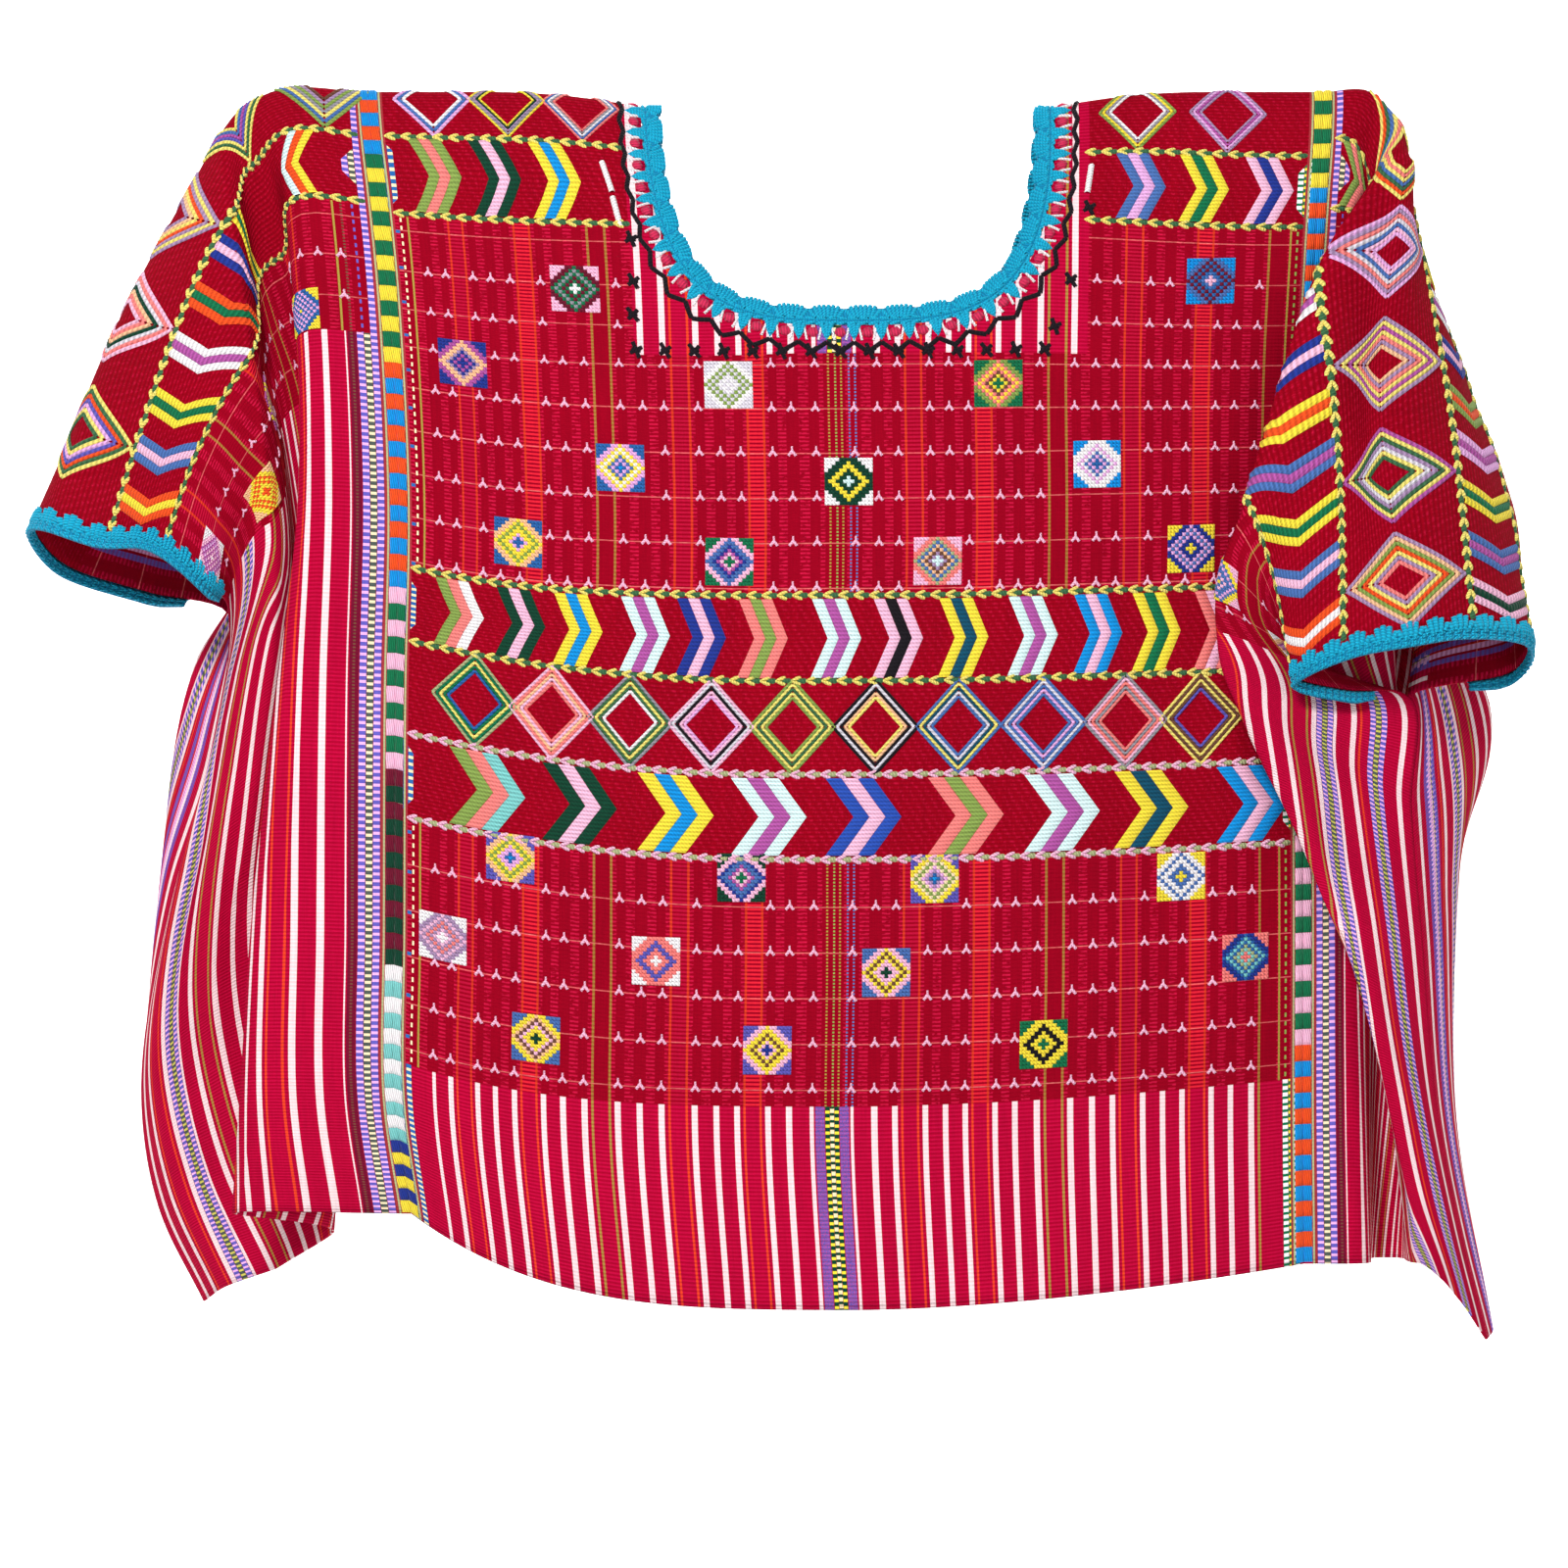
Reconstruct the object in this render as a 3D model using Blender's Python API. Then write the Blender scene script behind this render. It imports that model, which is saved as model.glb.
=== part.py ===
"""A huipil blouse, hollow as it hangs when worn: three lengths of warp-striped cloth,
each folded over the shoulders, joined by two wide stitched seams (randas) and edged
with crochet at the neck and at both cuffs.

Cloth coordinates, in millimetres: u runs across the garment from the left selvedge to
the right one, and v runs along the warp, 0 on the shoulder fold, negative down the
front and positive down the back. World axes: +X to the right seen from the front,
+Y to the back, +Z up, with the origin in the middle of the shoulder fold.
"""
import bmesh
import bpy
import numpy as np

MM = 0.001

# Cut of the cloth
CENTRE_WIDTH = 475.0      # centre length, selvedge to selvedge
SIDE_WIDTH = 314.0        # each side length, randa to selvedge
FRONT_LENGTH = 645.0      # shoulder fold to hem
CUFF_HALF = 160.0         # shoulder fold to the end of the cuff opening
SEAM_HALF = CENTRE_WIDTH / 2
SELVEDGE = SEAM_HALF + SIDE_WIDTH

# Walls and joins
CLOTH = 1.6               # thickness of the brocaded cloth
GAP = 0.3                 # between neighbouring pieces
RANDA_WIDTH = 9.0
RANDA_HEIGHT = 1.3
RANDA_PARTS = 2           # raised and sunk stretches of stitching to each mesh row
RANDA_SUNK = 0.6          # height of a sunk stretch, as a share of a raised one
RANDA_PROFILE = (         # half-round section: (place across the width, height)
    (-0.5, 0), (0, 0), (0.5, 0), (0.32, 1), (0, 1.1), (-0.32, 1),
)
SEAM_STRIP = 5.5          # flat stretch of cloth on each side of a randa's seam
DRAPE = 0.99              # height lost for each unit of cloth that hangs

# Neck hole and crochet
NECK_HALF_WIDTH = 103.0
NECK_DEPTH = 133.0        # measured along the cloth, the same front and back
NECK_CENTRE = 1.0
NECK_ROUNDNESS = 3.4
NECK_DIP = 8.0            # the shoulders slope down this much towards the neck
NECK_DIP_REACH = 75.0     # over this width beside the hole
NECK_DIP_DEPTH = 90.0     # and no further down than this
NECK_EDGING = 10.0        # width of the crochet band
NECK_GAP = 0.4            # a little over GAP, because the hole's edge is faceted
CUFF_EDGING = 6.5
CUFF_GAP = 0.45            # added to GAP, which the panel's rim already stands back
CUFF_INSET = 28.0         # the cuff's crochet stops short of the underarm
CUFF_TAPER = 60.0         # and narrows over this length
CUFF_THIN = 0.12
SCALLOP_PARTS = 4         # scallops and dents to each stretch of the mesh
SCALLOP_DENT = 0.2
EDGING_THICKNESS = 2.6

# Middle of the body, as (v, y): how far it stands forward (-) or back (+) of the
# shoulder fold at each height
BODY = (
    (-645, -95), (-470, -92), (-340, -86), (-240, -74), (-160, -58), (-110, -45),
    (-65, -31), (-25, -13), (0, 0), (25, 13), (65, 31), (110, 46), (160, 60),
    (240, 72), (340, 79), (470, 83), (645, 85),
)

# Sections across a side length, one row for each height v. In each row the cloth runs
# from the randa, out to the fold at the body's side, in to a valley, out again over an
# edge (the sleeve's or the side flap's near edge) and on to the side: the cuff's rim
# down to CUFF_HALF and the side seam below it. "lift" raises the randa above the level
# of the middle of the body. "bow" rounds the stretch from the edge to the side, and
# "sag" lowers its middle.
SECTION_COLUMNS = (
    "v", "randa_x", "randa_y", "lift", "fold_x", "valley_x", "valley_y",
    "edge_x", "edge_y", "edge_z", "side_x", "side_y", "side_z", "bow", "sag",
)
LEFT = (
    (-645, -224, -78, 48, -316, -266, -30, -300, -8, -620, -341, 26, -640, 9, 0),
    (-560, -233, -77, 26, -312, -262, -26, -316, -8, -560, -365, 26, -590, 12, 0),
    (-470, -233, -73, 19, -307, -262, -22, -330, -12, -488, -374, 24, -530, 12, 0),
    (-340, -233, -65, 17, -294, -268, -18, -309, -36, -372, -357, 12, -428, 14, 0),
    (-240, -232, -54, 16, -284, -276, -14, -298, -40, -286, -333, 2, -352, 12, 0),
    (-160, -236, -44, 13, -284, -286, -12, -299, -42, -238, -325, -5, -275, 6, 0),
    (-110, -240, -36, 10, -288, -294, -10, -304, -42, -185, -333, -40, -259, 8, 0),
    (-65, -245, -26, 6, -292, -302, -8, -312, -38, -130, -360, -47, -238, 6, 0),
    (-25, -250, -12, 2, -300, -315, -10, -324, -24, -56, -391, -32, -235, 6, 0),
    (0, -252, 0, 0, -303, -319, 0, -331, -2, -24, -419, -14, -226, 8, 0),
    (25, -251, 11, 2, -298, -313, 10, -329, 14, -45, -430, 8, -227, 7, 0),
    (65, -248, 26, 5, -288, -303, 18, -326, 28, -84, -418, 39, -247, 7, 0),
    (110, -244, 39, 7, -284, -299, 28, -330, 42, -138, -374, 46, -262, 10, 0),
    (160, -240, 50, 8, -281, -295, 37, -312, 42, -222, -325, -5, -275, 0, 0),
    (240, -238, 60, 8, -280, -298, 39, -347, 38, -302, -333, 2, -352, 8, 0),
    (340, -236, 66, 8, -283, -303, 40, -360, 34, -388, -357, 12, -428, 7, 0),
    (470, -235, 70, 14, -287, -302, 44, -356, 52, -512, -374, 24, -530, 6, 0),
    (645, -233, 73, 54, -288, -298, 50, -322, 60, -628, -341, 26, -640, 7, 0),
)
RIGHT = (
    (-645, 236, -63, 21, 268, 282, -24, 296, -66, -612, 332, -50, -653, 5, 0),
    (-560, 236, -56, 14, 266, 286, -28, 288, -72, -575, 318, -54, -600, 6, 0),
    (-470, 237, -47, 10, 264, 289, -34, 275, -74, -515, 306, -56, -540, 5, 0),
    (-340, 238, -34, 8, 263, 289, -30, 240, -71, -412, 298, -54, -445, 5, 0),
    (-240, 240, -24, 8, 262, 287, -22, 205, -65, -332, 293, -50, -376, 4, 2),
    (-160, 242, -22, 7, 262, 286, -19, 192, -63, -292, 292, -46, -319, 2, 4),
    (-110, 245, -20, 6, 262, 284, -18, 193, -65, -256, 257, -61, -316, 2, 0),
    (-65, 248, -16, 4, 263, 282, -17, 211, -65, -202, 230, -75, -308, 4, 0),
    (-25, 251, -9, 1, 266, 280, -11, 254, -42, -80, 262, -84, -293, 2, 0),
    (0, 252, 0, 0, 277, 290, -3, 294, -17, -38, 289, -85, -288, -15, 0),
    (25, 251, 11, 1, 273, 286, 8, 297, -5, -54, 315, -76, -284, 2, 0),
    (65, 248, 26, 4, 269, 287, 18, 307, 10, -94, 354, -42, -287, 12, 0),
    (110, 245, 39, 6, 266, 289, 27, 325, 22, -150, 350, -12, -306, 19, 0),
    (160, 242, 50, 7, 265, 289, 34, 308, 24, -244, 292, -46, -319, 2, 0),
    (240, 240, 60, 8, 264, 290, 36, 342, 22, -322, 293, -50, -376, 6, 0),
    (340, 238, 66, 8, 264, 290, 36, 327, 10, -404, 298, -54, -445, 8, 0),
    (470, 237, 70, 14, 265, 290, 36, 321, 4, -522, 306, -56, -540, 6, 0),
    (645, 236, 73, 54, 268, 290, 36, 338, -12, -646, 332, -50, -653, 4, 0),
)
LIFT_POWER = {"left": 3.5, "right": 1.6}
SLEEVE_AXIS = {"left": (-0.455, -0.02, -0.89), "right": (0.03, -0.12, -0.992)}
FOLD_ROUNDING = 3.0       # how far the fold turns back behind the randa's depth
VALLEY_SHARE = 0.35       # height of the valley between the body and the edge
SHOULDER_ROUNDING = 5.0   # radius of the bend over the shoulder fold
SHOULDER_DEPTH = 20.0     # the fold's rounding grows to its full size over this depth
CREST_ROUNDING = (3.5, 1.8)     # reach and half the room inside the crest of an edge
VALLEY_ROUNDING = (3.0, 1.8)    # the same for the bottom of the valley
SIDE_TURN = 60.0          # the side faces straight out within this far of the fold
NORMAL_STEP = 0.6         # of cloth, over which a surface normal is measured
KNOTS = 9                 # randa, fold, valley (2), crest (3), middle, side

# Mesh divisions
STEPS_NECK = 7            # rows between the shoulder fold and the neck hole's end
STEPS_BODY = 12           # rows from the cuff's end to the hem
STEPS_BETWEEN_KNOTS = (2, 3, 2, 4, 1, 1, 4, 5)
STEPS_ACROSS_NECK = 8     # columns across the neck hole
STEPS_BESIDE_NECK = 6     # columns from the neck hole to each randa
NECK_BLEND = 1.8          # the grid is square again at this many hole widths

RED = (0.46, 0.005, 0.025, 1)
TURQUOISE = (0.02, 0.35, 0.55, 1)
STITCH_GREEN = (0.03, 0.22, 0.11, 1)
STITCH_BLUE = (0.02, 0.24, 0.55, 1)


def hermite(stations, values, at):
    """Read a smooth curve through values (one row a station) at the places in at."""
    stations, values = np.asarray(stations, float), np.asarray(values, float)
    slopes = np.gradient(values, stations, axis=0)
    i = np.clip(np.searchsorted(stations, at) - 1, 0, len(stations) - 2)
    step = stations[i + 1] - stations[i]
    t = np.clip((at - stations[i]) / step, 0, 1)[:, None]
    step = step[:, None]
    return ((2 * t**3 - 3 * t**2 + 1) * values[i] + (t**3 - 2 * t**2 + t) * step * slopes[i]
            + (3 * t**2 - 2 * t**3) * values[i + 1] + (t**3 - t**2) * step * slopes[i + 1])


def unit(vectors):
    return vectors / np.maximum(np.linalg.norm(vectors, axis=1), 1e-9)[:, None]


def section_at(side, v):
    """Return the named numbers of a side length's sections at the heights v."""
    table = np.array(LEFT if side == "left" else RIGHT, float)
    read = hermite(table[:, 0], table[:, 1:], v)
    return {name: read[:, i] for i, name in enumerate(SECTION_COLUMNS[1:])}


def centre_points(u, v):
    """Return world points of the centre length, in millimetres."""
    t = np.clip(u / SEAM_HALF, -1, 1)
    left, right = section_at("left", v), section_at("right", v)
    body_y = hermite([row[0] for row in BODY], [[row[1]] for row in BODY], v)[:, 0]
    x = (left["randa_x"] * (1 - t) + right["randa_x"] * (1 + t)) / 2
    y = body_y * (1 - t**2) + np.where(t < 0, left["randa_y"], right["randa_y"]) * t**2
    lift = np.where(t < 0, left["lift"] * np.abs(t) ** LIFT_POWER["left"],
                    right["lift"] * np.abs(t) ** LIFT_POWER["right"])
    beside = np.clip((np.abs(u - NECK_CENTRE) - NECK_HALF_WIDTH) / NECK_DIP_REACH, 0, 1)
    near = np.clip(1 - np.abs(v) / NECK_DIP_DEPTH, 0, 1)
    dip = NECK_DIP * (1 - beside) ** 2 * near * near * (3 - 2 * near)
    z = shoulder_drop(v) + lift - dip
    return np.stack([x, y, z], axis=1)


def shoulder_drop(v):
    """Return how low the middle of the cloth hangs, with a rounded shoulder fold."""
    return -DRAPE * (np.sqrt(v**2 + SHOULDER_ROUNDING**2) - SHOULDER_ROUNDING)


def rounded(before, corner, after, rounding):
    """Return the two points that turn a sharp corner into a soft fold."""
    radius, room = rounding
    level = np.array([1.0, 1.0, 0.0])
    into, onward = unit((before - corner) * level), unit((after - corner) * level)
    spread = unit(onward - into) * room * (1 + (into * onward).sum(axis=1)[:, None])
    return (corner + unit(before - corner) * radius - spread,
            corner + unit(after - corner) * radius + spread)


def side_knots(side, v):
    """Return the points that a side length's sections run through, with their places.

    The places are given twice: along the section itself, and in cloth measured out from
    the randa. The stretches that show keep their real length, so the hidden valley
    takes up the rest of the cloth.
    """
    s = section_at(side, v)
    seam = section_at(side, -np.abs(v))
    sewn = np.abs(v) >= CUFF_HALF
    sign = -1.0 if side == "left" else 1.0
    drop = shoulder_drop(v) + s["lift"]
    front = np.clip(s["randa_y"] / SHOULDER_DEPTH, -1, 1)
    randa = np.stack([s["randa_x"], s["randa_y"], drop], 1)
    fold = np.stack([s["fold_x"], s["randa_y"] - front * FOLD_ROUNDING, drop], 1)
    valley_z = drop * (1 - VALLEY_SHARE) + s["edge_z"] * VALLEY_SHARE
    valley = np.stack([s["valley_x"], s["valley_y"], valley_z], 1)
    edge = np.stack([s["edge_x"], s["edge_y"], s["edge_z"]], 1)
    rim = np.stack([np.where(sewn, seam[n], s[n]) for n in ("side_x", "side_y", "side_z")], 1)
    out = np.stack([sign * np.ones_like(v), np.clip(v / SIDE_TURN, -1, 1), np.zeros_like(v)], 1)
    out = unit(out)
    middle = (edge + rim) / 2 + out * s["bow"][:, None]
    middle[:, 2] -= s["sag"]
    sunk, risen = rounded(fold, valley, edge, VALLEY_ROUNDING)
    before, after = rounded(valley, edge, middle, CREST_ROUNDING)
    knots = np.stack([randa, fold, sunk, risen, before, edge, after, middle, rim], axis=1)
    chords = np.linalg.norm(np.diff(knots, axis=1), axis=2)
    along = np.concatenate([np.zeros((len(v), 1)), np.cumsum(chords, axis=1)], axis=1)
    cloth = along.copy()
    cloth[:, 4:] = SIDE_WIDTH - (along[:, -1:] - along[:, 4:])
    for hidden in (2, 3):
        share = (along[:, hidden] - along[:, 1]) / (along[:, 4] - along[:, 1])
        cloth[:, hidden] = cloth[:, 1] + share * (cloth[:, 4] - cloth[:, 1])
    return knots, along, cloth


def side_cloth(side, places, v):
    """Return cloth measures, out from the randa, at places counted in knots."""
    cloth = side_knots(side, v)[2]
    i = np.clip(places.astype(int), 0, KNOTS - 2)
    rows = np.arange(len(v))
    return cloth[rows, i] + (places - i) * (cloth[rows, i + 1] - cloth[rows, i])


def side_points(side, u, v):
    """Return world points of a side length, u measured out from its randa."""
    knots, along, cloth = side_knots(side, v)
    steps = np.diff(along, axis=1)
    flow = np.diff(knots, axis=1) / steps[:, :, None]
    slopes = np.empty_like(knots)
    slopes[:, 0], slopes[:, -1] = flow[:, 0], flow[:, -1]
    before, after = steps[:, :-1, None], steps[:, 1:, None]
    slopes[:, 1:-1] = (flow[:, :-1] * after + flow[:, 1:] * before) / (before + after)
    i = np.clip((u[:, None] > cloth).sum(axis=1) - 1, 0, KNOTS - 2)
    rows = np.arange(len(v))
    span = cloth[rows, i + 1] - cloth[rows, i]
    t = np.clip((u - cloth[rows, i]) / span, 0, 1)[:, None]
    step = steps[rows, i][:, None]
    return ((2 * t**3 - 3 * t**2 + 1) * knots[rows, i]
            + (t**3 - 2 * t**2 + t) * step * slopes[rows, i]
            + (3 * t**2 - 2 * t**3) * knots[rows, i + 1]
            + (t**3 - t**2) * step * slopes[rows, i + 1])


def cloth_points(u, v):
    """Return world points, in millimetres, of the whole blouse's middle surface."""
    u, v = np.atleast_1d(np.asarray(u, float)), np.atleast_1d(np.asarray(v, float))
    points = centre_points(u, v)
    for side, there in (("left", u < -SEAM_HALF), ("right", u > SEAM_HALF)):
        if there.any():
            points[there] = side_points(side, np.abs(u[there]) - SEAM_HALF, v[there])
    return points


def cloth_normals(u, v):
    """Return unit normals that point out of the blouse."""
    u, v = np.atleast_1d(np.asarray(u, float)), np.atleast_1d(np.asarray(v, float))
    low = np.maximum(u - NORMAL_STEP, -SELVEDGE)
    high = np.minimum(u + NORMAL_STEP, SELVEDGE)
    across = cloth_points(high, v) - cloth_points(low, v)
    along = cloth_points(u, v + NORMAL_STEP) - cloth_points(u, v - NORMAL_STEP)
    normal = np.cross(along, across)
    return -normal / np.linalg.norm(normal, axis=1)[:, None]


def wall_offsets(u, v):
    """Return normals for a wall's faces, mitred where front and back meet at the side."""
    normal = cloth_normals(u, v)
    seam = (np.abs(u) > SELVEDGE - 1) & (np.abs(v) >= CUFF_HALF - 0.5)
    if seam.any():
        mean = normal[seam] + cloth_normals(u[seam], -v[seam])
        normal[seam] = mean / np.linalg.norm(mean, axis=1)[:, None]
    return normal


def neck_warp(u, v):
    """Round a square hole in the grid into the neck hole's curve."""
    du = u - NECK_CENTRE
    square = np.maximum(np.abs(du) / NECK_HALF_WIDTH, np.abs(v) / NECK_DEPTH)
    square = np.maximum(square, 1e-6)
    au, av = np.abs(du) / square / NECK_HALF_WIDTH, np.abs(v) / square / NECK_DEPTH
    pull = (au**NECK_ROUNDNESS + av**NECK_ROUNDNESS) ** (-1 / NECK_ROUNDNESS)
    share = np.clip((square - 1) / (NECK_BLEND - 1), 0, 1)
    share = share * share * (3 - 2 * share)
    scale = pull + (1 - pull) * share
    return NECK_CENTRE + du * scale, v * scale


def rows_along():
    """Return the heights of the mesh rows, from the front hem to the back hem."""
    neck = np.linspace(0, NECK_DEPTH, STEPS_NECK + 1)
    neck = np.concatenate([[0, neck[1] / 2], neck[1:]])
    body = np.linspace(CUFF_HALF, FRONT_LENGTH, STEPS_BODY + 1)
    underarm = [(NECK_DEPTH + CUFF_HALF) / 2, CUFF_HALF, (CUFF_HALF + body[1]) / 2]
    back = np.concatenate([neck, underarm, body[1:]])
    return np.concatenate([-back[:0:-1], back])


def material(name, colour, roughness=0.85):
    made = bpy.data.materials.new(name)
    made.use_nodes = True
    shader = made.node_tree.nodes["Principled BSDF"]
    shader.inputs["Base Color"].default_value = colour
    shader.inputs["Roughness"].default_value = roughness
    shader.inputs["Metallic"].default_value = 0.0
    return made


def add_object(name, bm, finish):
    bmesh.ops.recalc_face_normals(bm, faces=bm.faces)
    mesh = bpy.data.meshes.new(name)
    bm.to_mesh(mesh)
    bm.free()
    mesh.shade_smooth()
    made = bpy.data.objects.new(name, mesh)
    bpy.context.scene.collection.objects.link(made)
    mesh.materials.append(finish)
    return made


def panel(name, columns, rows, finish, place, hole=None):
    """Make one length of cloth as a wall on a grid of columns and rows.

    place turns the grid's columns and rows into cloth coordinates.
    """
    bm = bmesh.new()
    keep_u = bm.verts.layers.float.new("u")
    keep_v = bm.verts.layers.float.new("v")
    bmesh.ops.create_grid(bm, x_segments=len(columns) - 1, y_segments=len(rows) - 1, size=1.0)
    for vert in bm.verts:
        vert[keep_u] = columns[round((vert.co.x + 1) / 2 * (len(columns) - 1))]
        vert[keep_v] = rows[round((vert.co.y + 1) / 2 * (len(rows) - 1))]
    if hole:
        inside = [face for face in bm.faces if hole(
            sum(vert[keep_u] for vert in face.verts) / 4,
            sum(vert[keep_v] for vert in face.verts) / 4)]
        bmesh.ops.delete(bm, geom=inside, context="FACES")
    made = bmesh.ops.extrude_face_region(bm, geom=bm.faces[:], use_keep_orig=True)
    inner = {item for item in made["geom"] if isinstance(item, bmesh.types.BMVert)}
    verts = list(bm.verts)
    u = np.array([vert[keep_u] for vert in verts])
    v = np.array([vert[keep_v] for vert in verts])
    u, v = place(u, v)
    points, normals = cloth_points(u, v), wall_offsets(u, v)
    for i, vert in enumerate(verts):
        offset = -CLOTH / 2 if vert in inner else CLOTH / 2
        vert.co = (points[i] + normals[i] * offset) * MM
    return add_object(name, bm, finish)


def band(name, edges, finish, closed):
    """Make a solid strip from its cross-sections, one list of corner points a section."""
    bm = bmesh.new()
    rings = [[bm.verts.new(point * MM) for point in ring] for ring in edges]
    count = len(rings[0])
    pairs = list(zip(rings, rings[1:] + rings[:1] if closed else rings[1:]))
    for ring, following in pairs:
        for i in range(count):
            j = (i + 1) % count
            bm.faces.new((ring[i], ring[j], following[j], following[i]))
    if not closed:
        bm.faces.new(rings[0])
        bm.faces.new(reversed(rings[-1]))
    return add_object(name, bm, finish)


def refine(points, parts, closed):
    """Divide each stretch between mesh points into equal straight parts."""
    ends = np.roll(points, -1, axis=0) if closed else points[1:]
    starts = points if closed else points[:-1]
    shares = np.arange(parts)[:, None, None] / parts
    steps = starts[None] + (ends - starts)[None] * shares
    fine = steps.transpose(1, 0, 2).reshape(-1, 3)
    return fine if closed else np.concatenate([fine, points[-1:]])


def randa(name, seam_u, finish):
    """Make a raised satin-stitch join, laid on the seam from hem to hem."""
    v = rows_along()[1:-1]
    v = np.concatenate([[-FRONT_LENGTH + 1], v, [FRONT_LENGTH - 1]])
    strips = {}
    for side in (-1, 0, 1):
        u = np.full_like(v, seam_u + side * SEAM_STRIP)
        strips[side] = (cloth_points(u, v), cloth_normals(u, v))
    low = CLOTH / 2 + GAP
    corners = []
    for offset, top in RANDA_PROFILE:
        share = abs(offset) * RANDA_WIDTH / SEAM_STRIP
        side = -1 if offset < 0 else 1
        base = strips[0][0] * (1 - share) + strips[side][0] * share
        normal = strips[0][1] * (1 - share) + strips[side][1] * share
        base = refine(base, RANDA_PARTS, False)
        normal = refine(normal, RANDA_PARTS, False)
        stitch = np.where(np.arange(len(base)) % 2 == 0, RANDA_SUNK, 1.0)
        height = low + top * RANDA_HEIGHT * stitch
        corners.append(base + normal * height[:, None])
    return band(name, list(np.stack(corners, axis=1)), finish, closed=False)


def neck_outline():
    """Return the mesh points round the neck hole, in grid coordinates."""
    u = np.linspace(NECK_CENTRE - NECK_HALF_WIDTH, NECK_CENTRE + NECK_HALF_WIDTH,
                    STEPS_ACROSS_NECK + 1)
    rows = rows_along()
    v = rows[np.abs(rows) <= NECK_DEPTH + 0.01]
    sides = [(u, np.full_like(u, v[0])), (np.full_like(v, u[-1]), v),
             (u[::-1], np.full_like(u, v[-1])), (np.full_like(v, u[0]), v[::-1])]
    return (np.concatenate([side[0][:-1] for side in sides]),
            np.concatenate([side[1][:-1] for side in sides]))


def neck_edging(finish):
    """Make the scalloped crochet band that stands inside the neck hole."""
    u, v = neck_warp(*neck_outline())
    corners = []
    for inner, height in ((0, 1), (0, -1), (1, -1), (1, 1)):
        inwards = NECK_EDGING if inner else NECK_GAP
        share = 1 - inwards / np.hypot(u - NECK_CENTRE, v)
        at_u, at_v = NECK_CENTRE + (u - NECK_CENTRE) * share, v * share
        points = cloth_points(at_u, at_v)
        normal = refine(cloth_normals(at_u, at_v), SCALLOP_PARTS, True)
        points = refine(points, SCALLOP_PARTS, True)
        corners.append((points, normal * height * EDGING_THICKNESS / 2))
    dent = np.where(np.arange(len(corners[0][0])) % 2 == 0, 0.0, SCALLOP_DENT)[:, None]
    outer, inner = corners[0][0], corners[2][0]
    inner = inner + (outer - inner) * dent
    rings = [outer + corners[0][1], outer + corners[1][1],
             inner + corners[2][1], inner + corners[3][1]]
    return band("neck_edging", list(np.stack(rings, axis=1)), finish, closed=True)


def cuff_edging(name, side, finish):
    """Make the crochet edge that hangs from a cuff's rim, open at the underarm."""
    end = SELVEDGE if side == "right" else -SELVEDGE
    rows = rows_along()
    reach = CUFF_HALF - CUFF_INSET
    v = np.concatenate([[-reach], rows[np.abs(rows) < reach - 1], [reach]])
    rim, normal = cloth_points(np.full_like(v, end), v), cloth_normals(np.full_like(v, end), v)
    taper = np.clip((CUFF_HALF - np.abs(v)) / CUFF_TAPER, CUFF_THIN, 1)[:, None]
    axis = np.array(SLEEVE_AXIS[side])
    axis /= np.linalg.norm(axis)
    normal -= (normal @ axis)[:, None] * axis
    normal /= np.linalg.norm(normal, axis=1)[:, None]
    rim, normal = refine(rim, SCALLOP_PARTS, False), refine(normal, SCALLOP_PARTS, False)
    taper = refine(np.repeat(taper, 3, axis=1), SCALLOP_PARTS, False)[:, :1]
    scallop = np.where(np.arange(len(rim)) % 2 == 0, 1.0, 1 - SCALLOP_DENT)[:, None]
    corners = []
    for drop, height in ((0, 1), (0, -1), (1, -1), (1, 1)):
        down = CUFF_GAP + drop * CUFF_EDGING * taper * scallop
        corners.append(rim + down * axis + normal * height * EDGING_THICKNESS / 2)
    return band(name, list(np.stack(corners, axis=1)), finish, closed=False)


def side_place(side):
    """Return the rule that turns a side length's columns, counted in knots, into cloth."""
    def place(column, v):
        first = side_cloth(side, np.ones_like(column), v)
        out = SEAM_STRIP + (first - SEAM_STRIP) * np.clip(column, 0, 1)
        out = np.where(column == 0, 0, out)
        out = np.where(column > 1, side_cloth(side, column, v), out)
        out = np.clip(out, GAP / 2, SIDE_WIDTH - GAP) + SEAM_HALF
        return (-out if side == "left" else out), v
    return place


def side_columns():
    """Return the columns of a side length, counted in knots out from its randa.

    The column at -1 stands for the flat strip beside the seam.
    """
    columns = [0.0, -1.0]
    for knot, steps in enumerate(STEPS_BETWEEN_KNOTS):
        columns += [knot + (i + 1) / steps for i in range(steps)]
    return columns


def centre_columns():
    """Return the columns of the centre length, with a pair on the neck hole's sides."""
    edge, strip = SEAM_HALF - GAP / 2, SEAM_HALF - SEAM_STRIP
    left, right = NECK_CENTRE - NECK_HALF_WIDTH, NECK_CENTRE + NECK_HALF_WIDTH
    return np.concatenate([
        [-edge],
        np.linspace(-strip, left, STEPS_BESIDE_NECK)[:-1],
        np.linspace(left, right, STEPS_ACROSS_NECK + 1)[:-1],
        np.linspace(right, strip, STEPS_BESIDE_NECK),
        [edge],
    ])


def in_neck(u, v):
    return abs(u - NECK_CENTRE) < NECK_HALF_WIDTH and abs(v) < NECK_DEPTH


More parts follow.
